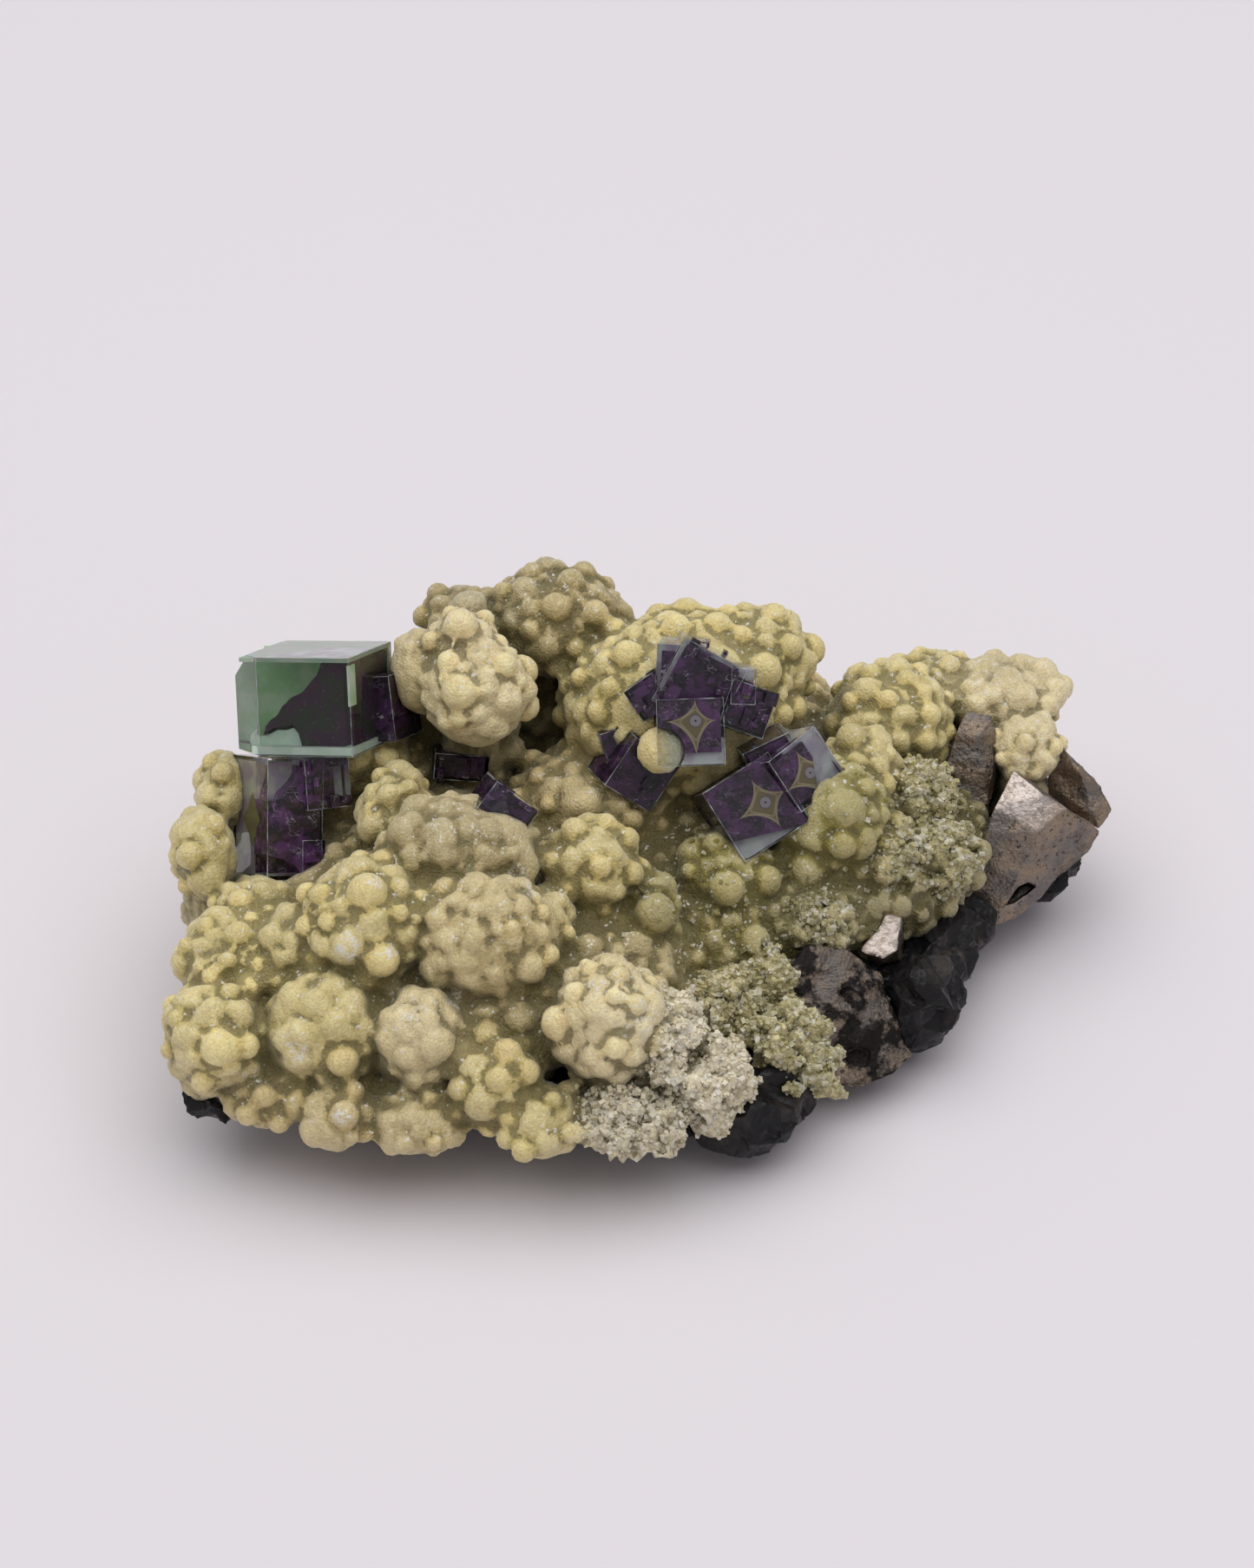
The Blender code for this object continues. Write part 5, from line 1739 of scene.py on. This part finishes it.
FILLINGS = [
    FillingFinish(Filling.PHANTOM, (0.034, 0.042, 0.026), (0.055, 0.020, 0.050), (0.30, 0.22, 0.28)),
    # Partly painted light: the pale zones under the skin
    FillingFinish(Filling.MILKY_AND_LIT, (0.62, 0.66, 0.66), (0.40, 0.36, 0.45), (0.86, 0.88, 0.9)),
    FillingFinish(Filling.MINT, (0.80, 0.93, 0.84), (0.66, 0.84, 0.70), (0.95, 0.98, 0.95)),
    FillingFinish(Filling.GREY, (0.62, 0.65, 0.52), (0.44, 0.38, 0.46), (0.80, 0.82, 0.80)),
    FillingFinish(Filling.HAZE, (0.34, 0.47, 0.36), (0.44, 0.52, 0.43), (0.6, 0.66, 0.6)),
    FillingFinish(Filling.CLOUD, (0.80, 0.95, 0.76), (0.56, 0.82, 0.52), (0.90, 0.97, 0.88)),
    FillingFinish(Filling.KHAKI, (0.30, 0.28, 0.13), (0.22, 0.21, 0.10), (0.45, 0.42, 0.26)),
]


def edge_highlight_finish() -> Material:
    """The pale finish of the painted highlights on crystal edges."""
    material, graph, shader = new_material("painted_edge_highlights")
    looks = {
        "Base Color": (0.82, 0.82, 0.85, 1), "Roughness": 0.3, "Subsurface Weight": 0.3, "Subsurface Scale": 0.3 * MM,
    }
    graph.fill(shader, looks)
    return material


@dataclass
class RimPearl:
    """The drusy pearl that grew on the clear corner of the star crystal, half of it inside the glass.

    Attributes:
        place: Where its middle is on the crystal's block, in mm from the block's middle.
        radius: Its radius in mm.
        bare: Its colour outside the glass.
        painted_veil_colour: Its colour behind the glass: paler and greener, with the glass's reflection and tint
            painted on.
    """

    place: tuple = (-3.1, -1.9, 1.3)
    radius: float = 2.4
    bare: Colour = (0.76, 0.67, 0.38)
    painted_veil_colour: Colour = (0.74, 0.80, 0.68)

    def bite(self, matrix: Matrix) -> Object:
        """What the coloured zones leave free round it."""
        mesh = bmesh.new()
        wide = self.radius + 0.15
        ball(mesh, Vector(self.place) * MM, Vector((wide, wide, 3 * wide)) * MM, 3)
        mesh.transform(matrix)
        return object_from(mesh, "bite")

    def build(self, matrix: Matrix, material: Material) -> Object:
        """Build and dress the pearl on its crystal, and return it."""
        mesh = bmesh.new()
        ball(mesh, Vector(self.place) * MM, Vector([self.radius * MM] * 3), 6)
        middle = matrix @ (Vector(self.place) * MM)
        mesh.transform(matrix)
        for vertex in mesh.verts:
            grain = noise.cell_vector(vertex.co * 3400)[0] * 0.5 + noise.noise(vertex.co * 1300) * 1.6
            vertex.co += (vertex.co - middle).normalized() * (grain + noise.noise(vertex.co * 500)) * 0.08 * MM
        pearl = object_from(mesh, "rim_pearl")
        count = len(pearl.data.vertices)
        across = (spots_of(pearl.data) - np.array(middle)) @ np.array(matrix.to_3x3().col[0].normalized()) / MM
        # Painted reflection: the half behind the glass is painted paler and greener
        painted_veil = np.clip((across + 0.3) / 1.4, 0, 1)[:, None]
        plain = {"open": 0.9, "crest": 0.15, "knob": 0.3, "frost": 0.0, "broken": 0.0, "pearl": 1.0, "kind": 0.6}
        for name, value in plain.items():
            keep_value(pearl.data, name, np.full(count, value))
        keep_value(pearl.data, "body", (1 - painted_veil) * np.array(self.bare) + painted_veil * np.array(self.painted_veil_colour))
        smooth_shade(pearl)
        dress(pearl, material)
        hand_over(pearl, "dolomite")
        return pearl


@dataclass(frozen=True)
class MetalFinish:
    """Arsenopyrite: bronze-grey metal with fine striations and tarnish, painted shade in its pits, and a painted
    highlight.
    """

    bronze: Colour = (0.42, 0.33, 0.25)
    grey: Colour = (0.26, 0.235, 0.22)
    tarnish: Colour = (0.030, 0.026, 0.025)
    # Painted highlight on the cleavage that faces the light
    bright: Colour = (0.86, 0.76, 0.69)

    def make(self, grains: NodeTree) -> Material:
        """Build the material.

        Args:
            grains: The group that gives fine grains.

        Returns:
            The material.
        """
        material, graph, shader = new_material("arsenopyrite")
        place = graph.place()
        grain = use_group(graph, grains, {"Place": place, "Size": 0.38 * MM})
        patch, fine = graph.noise(place, 3.4 * MM, 5.0, 0.62), graph.noise(place, 0.7 * MM, 5.0, 0.7)
        gloss, pit, soot = graph.value("gloss"), graph.value("pit"), graph.value("soot")
        shade = graph.mix(graph.rise(patch, 0.38, 0.62), self.grey, self.bronze)
        shade = graph.tinted(shade, graph.mix(fine, (0.45, 0.44, 0.42), (1.5, 1.5, 1.5)))
        shade = graph.mix(graph.times(soot, 0.35), shade, (0.06, 0.05, 0.045))
        dark = graph.times(graph.rise(fine, 0.54, 0.66), graph.less(0.8, gloss))
        cloud = graph.plus(graph.noise(place, 4.2 * MM, 5.0, 0.6), graph.times(soot, 0.16))
        dark = graph.math("MAXIMUM", dark, graph.times(graph.rise(cloud, 0.62, 0.70), soot))
        # Painted shade: the pits are as dark as the tarnish
        dark = graph.math("MAXIMUM", dark, pit, clamp=True)
        shade = graph.mix(dark, shade, self.tarnish)
        # Painted highlight: the cleavage that faces the light is paler
        shade = graph.mix(graph.times(gloss, graph.rise(fine, 0.62, 0.45, 0.3, 0.9)), shade, self.bright)
        graph.fill(shader, {"Base Color": shade, "Metallic": 1, "Roughness": graph.rise(fine, 0.3, 0.7, 0.42, 0.62)})
        turn = graph.add("ShaderNodeMapping", {"Vector": place, "Rotation": (0.3, 0.5, 0.4), "Scale": (1, 7, 1)})
        lines = graph.noise(turn.outputs[0], 2.6 * MM, 5.0, 0.65)
        normal = graph.bump(lines, 0.3 * MM, 0.7)
        graph.feed(shader.inputs["Normal"], graph.bump(grain["Height"], 0.14 * MM, 0.8, normal))
        return material


@dataclass(frozen=True)
class RockFinish:
    """Black sphalerite with a resinous gloss on its broken faces."""

    black: Colour = (0.011, 0.010, 0.011)
    brown: Colour = (0.040, 0.031, 0.025)

    def make(self, grains: NodeTree) -> Material:
        """Build the material.

        Args:
            grains: The group that gives fine grains.

        Returns:
            The material.
        """
        material, graph, shader = new_material("sphalerite")
        place = graph.place()
        grain = use_group(graph, grains, {"Place": place, "Size": 0.9 * MM})
        patch = graph.noise(place, 4 * MM, 5.0, 0.6)
        shade = graph.mix(graph.rise(patch, 0.5, 0.72), self.black, self.brown)
        looks = {
            "Base Color": shade, "Roughness": graph.rise(grain["Speck"], 0.2, 0.9, 0.3, 0.6), "IOR": 1.5,
            "Specular IOR Level": 0.28, "Normal": graph.bump(grain["Height"], 0.2 * MM, 0.8),
        }
        graph.fill(shader, looks)
        return material


@dataclass
class MetalBlock:
    """One metallic block: the solid's hull with worn edges, rough faces, and a painted highlight on the cleavage that
    faces the light.

    Attributes:
        node: The solid that it stands for.
        grain: How long the edges of its fine mesh are at most.
        wear: How far the rough faces stray.
        pits: Cavities, each as its outline in the photograph and its depth in mm.
        shine: How strong the painted highlight is on the cleavage that faces the light; those faces are also roughened
            less.
        soot: How much of it is black.
        bright: Which way the faces with the painted highlight look: those that would mirror the overhead light to the
            eye.
    """

    node: str
    grain: float = 0.45 * MM
    wear: float = 0.16 * MM
    pits: tuple = ()
    shine: float = 0.0
    soot: float = 0.3
    bright: tuple[float, float, float] = (0.0, -0.44, 0.9)

    def build(self, material: Material) -> Object:
        """Build and dress the block, and return it."""
        block = node_copy(self.node, self.node + "_finish")
        tree = tree_of(block)
        for outline, depth in self.pits:
            combine(block, self.pit(tree, outline, depth * MM), "DIFFERENCE", "EXACT")
        bevel_edges(block, 0.12 * MM, 2, 25)
        self.refine(block)
        self.weather(block)
        smooth_shade(block, 32)
        dress(block, material)
        hand_over(block, "arsenopyrite", self.node)
        return block

    def pit(self, tree: BVHTree, outline: tuple, depth: float) -> Object:
        """The hollow of a cavity that the photograph shows, narrower at its bottom."""
        middle = sum((Vector(point) for point in outline), Vector((0, 0))) / len(outline)
        far = tree.ray_cast(SIGHT.eye(), SIGHT.way(*middle))[3]
        mesh, rims = bmesh.new(), []
        for share, reach in ((1.0, far - 3 * MM), (0.55, far + depth)):
            spots = [middle.lerp(Vector(point), share) for point in outline]
            rims.append([mesh.verts.new(SIGHT.eye() + SIGHT.way(*spot) * reach) for spot in spots])
            mesh.faces.new(rims[-1])
        for k in range(len(outline)):
            after = (k + 1) % len(outline)
            mesh.faces.new((rims[0][k], rims[0][after], rims[1][after], rims[1][k]))
        bmesh.ops.recalc_face_normals(mesh, faces=mesh.faces)
        return object_from(mesh, "pit")

    def refine(self, block: Object) -> None:
        """Split long edges until none is longer than the grain."""
        mesh = bmesh.new()
        mesh.from_mesh(block.data)
        for _ in range(6):
            bmesh.ops.triangulate(mesh, faces=mesh.faces)
            long = [edge for edge in mesh.edges if edge.calc_length() > self.grain]
            if not long:
                break
            bmesh.ops.subdivide_edges(mesh, edges=long, cuts=1)
        bmesh.ops.triangulate(mesh, faces=mesh.faces)
        mesh.to_mesh(block.data)
        mesh.free()

    def weather(self, block: Object) -> None:
        """Roughen the faces, but for those that face the light, and note which vertices get the painted highlight and
        which lie in a pit.
        """
        data = block.data
        spots, normals = spots_of(data), normals_of(data)
        bright = np.array(Vector(self.bright).normalized())
        # Which faces get the painted highlight: those that look the way of bright
        gloss = smoothed(data, np.clip((normals @ bright - 0.90) / 0.03, 0, 1), 2) * self.shine
        # How deep each vertex lies in a pit, for the painted shade there
        pit = np.zeros(len(spots))
        tree = tree_of(node_copy(self.node, "hull"))
        bpy.data.objects.remove(bpy.data.objects["hull"])
        for place, spot in enumerate(spots):
            depth = tree.find_nearest(Vector(spot))[3]
            pit[place] = min(max((depth - 0.35 * MM) / (0.5 * MM), 0), 1)
        for place, spot in enumerate(spots):
            where = Vector(spot)
            wave = noise.fractal(Vector((where.x, where.y, where.z * 2.2)) * 260, 0.9, 2.1, 5)
            ledge = round(wave * 3) / 3 * 0.7 + wave * 0.6
            spots[place] += normals[place] * (ledge - 0.3) * self.wear * (1 - 0.8 * gloss[place])
        move_to(data, spots)
        keep_value(data, "gloss", gloss)
        keep_value(data, "soot", np.full(len(spots), self.soot))
        keep_value(data, "pit", pit)


WEDGE_PIT = ((1150, 1049), (1172, 1018), (1187, 1011), (1202, 1018), (1187, 1031), (1164, 1047))
BLOCK_PITS = (
    ((960, 1140), (976, 1130), (998, 1142), (1004, 1158), (990, 1168), (972, 1156)),
    ((972, 1213), (988, 1204), (1006, 1212), (1002, 1227), (982, 1231)),
)

METAL_BLOCKS = [
    MetalBlock("arsenopyrite_wedge", wear=0.22 * MM, shine=1.0, pits=((WEDGE_PIT, 2.4),)),
    MetalBlock("arsenopyrite_prism", wear=0.2 * MM),
    MetalBlock("arsenopyrite_end", wear=0.25 * MM),
    MetalBlock("arsenopyrite_blade", wear=0.25 * MM, shine=1.0),
    MetalBlock("arsenopyrite_block", wear=0.4 * MM, soot=1.0, pits=tuple((pit, 0.5) for pit in BLOCK_PITS)),
]


@dataclass
class Rock:
    """The dark rock under the crust: broken, angular lumps over a flat face to rest on.

    Attributes:
        voxel: How fine its skin is before it breaks.
        facets: How many triangles the break leaves.
        coarse: How far the broken faces stray.
        fine: How rough each face is.
    """

    voxel: float = 0.6 * MM
    facets: int = 5200
    coarse: float = 1.1 * MM
    fine: float = 0.16 * MM

    def build(self, material: Material) -> Object:
        """Build and dress the rock, and return it."""
        rock = node_copy("sphalerite_rock", "sphalerite_rock_finish")
        remesh(rock, self.voxel)
        self.stray(rock, 300, self.coarse, 3)
        breaks = rock.modifiers.new("breaks", "DECIMATE")
        breaks.ratio = self.facets / (2 * len(rock.data.polygons))
        settle(rock)
        finer = rock.modifiers.new("finer", "SUBSURF")
        finer.subdivision_type, finer.levels = "SIMPLE", 2 if ZOOM is Zoom.FULL else 1
        settle(rock)
        self.stray(rock, 1300, self.fine, 3)
        dress(rock, material)
        smooth_shade(rock, 24)
        hand_over(rock, "sphalerite", "sphalerite_rock")
        return rock

    def stray(self, rock: Object, scale: float, depth: float, octaves: int) -> None:
        """Push the skin in and out by ridged noise, but leave the face that it rests on flat."""
        data = rock.data
        spots, normals = spots_of(data), normals_of(data)
        for place, spot in enumerate(spots):
            where = Vector(spot) * scale
            ridge = 0.6 - 2 * abs(noise.noise(where)) + noise.fractal(where * 2.1, 1.0, 2.0, octaves) * 0.6
            fade = min(max((spot[2] - 0.3 * MM) / MM, 0), 1)
            spots[place] += normals[place] * min(ridge, 0.5) * depth * fade
        spots[:, 2] = np.maximum(spots[:, 2], 0)
        move_to(data, spots)


@dataclass(frozen=True)
class Studio:
    """A plain pale table under one large soft light, and the photograph's camera."""

    table: Colour = (0.83, 0.79, 0.82)
    table_size: float = 4.0
    light_size: float = 1.3
    light_height: float = 0.8
    light_power: float = 7.0
    room: Colour = (0.86, 0.84, 0.88)
    room_strength: float = 0.40

    def build(self) -> None:
        """Make the table, the lights, the room's own light and the camera."""
        mesh = bmesh.new()
        bmesh.ops.create_grid(mesh, x_segments=1, y_segments=1, size=self.table_size / 2)
        bmesh.ops.translate(mesh, verts=mesh.verts, vec=(0, 0, -0.02 * MM))
        table = object_from(mesh, "table")
        material, graph, shader = new_material("table")
        shade = graph.mix(graph.noise(graph.place(), 300 * MM, 2.0), self.table, tuple(c * 0.985 for c in self.table))
        graph.fill(shader, {"Base Color": shade, "Roughness": 0.75})
        dress(table, material)
        self.add_light("softbox", (0.0, 0.06, self.light_height), (0, 0, 0), self.light_size, self.light_power)
        world = bpy.data.worlds.new("room")
        world.use_nodes = True
        back = world.node_tree.nodes["Background"]
        back.inputs["Color"].default_value = (*self.room, 1)
        back.inputs["Strength"].default_value = self.room_strength
        bpy.context.scene.world = world
        self.add_camera()
        view = bpy.context.scene.view_settings
        view.view_transform, view.look = "Standard", "None"

    def add_light(self, name: str, place: tuple, aim: tuple, size: float, power: float) -> None:
        """A square soft light at a place, aimed at a point."""
        lamp = bpy.data.lights.new(name, "AREA")
        lamp.shape, lamp.size, lamp.energy = "SQUARE", size, power
        thing = bpy.data.objects.new(name, lamp)
        thing.location = place
        thing.rotation_euler = (Vector(place) - Vector(aim)).to_track_quat("Z", "Y").to_euler()
        bpy.context.scene.collection.objects.link(thing)

    def add_camera(self) -> None:
        """The camera of the photograph."""
        data = bpy.data.cameras.new("camera")
        data.lens, data.sensor_width, data.sensor_fit = SIGHT.lens, SIGHT.sensor, "AUTO"
        data.clip_start, data.clip_end = 0.01, 20
        camera = bpy.data.objects.new("camera", data)
        matrix = SIGHT.turn().to_4x4()
        matrix.translation = SIGHT.eye()
        camera.matrix_world = matrix
        bpy.context.scene.collection.objects.link(camera)
        bpy.context.scene.camera = camera


def main() -> None:
    """Build the specimen mineral by mineral, then the table, the light and the camera."""
    logging.basicConfig(level=logging.INFO, format="%(relativeCreated)d ms %(message)s", stream=sys.stdout)
    noise.seed_set(NOISE_SEED)
    grains, stars = grain_group(), star_group()
    crust = Crust()
    for crystal in FLUORITES:
        crystal.stand(crust.masses)
    metal = MetalFinish().make(grains)
    for block in METAL_BLOCKS:
        block.build(metal)
    Rock().build(RockFinish().make(grains))
    dolomite = DolomiteFinish().make(grains)
    skin = crust.build(FLUORITES, [b.node for b in METAL_BLOCKS], dolomite)
    crust.dress(skin)
    crust.strew_sugar(skin, SugarFinish().make())
    green = GlassFinish("green_fluorite", (0.30, 0.70, 0.28), 24.0).make()
    clear = GlassFinish("clear_fluorite", (0.86, 0.90, 0.92), 30.0).make()
    fillings = {finish.filling: finish.make() for finish in FILLINGS}
    threads, edge_highlight = edge_nodes(), edge_highlight_finish()
    for crystal in FLUORITES:
        crystal.build_glass(green if crystal.finish is Finish.GREEN else clear)
        reach = crystal.windows[0].reach if crystal.windows else (1.0,) * 4
        fillings[Filling.PURPLE] = CoreFinish(crystal.node + "_core", reach, crystal.vivid).make(stars)
        bite = None
        if crystal.node == "star_fluorite":
            bite = RimPearl().bite(crystal.matrices[0])
            RimPearl().build(crystal.matrices[0], dolomite)
        crystal.build_zones(fillings, bite)
        if bite:
            bpy.data.objects.remove(bite)
        # Painted highlights: pale threads along the crystals' edges
        crystal.build_edges(edge_highlight, threads)
    Studio().build()


if __name__ == "__main__":
    main()
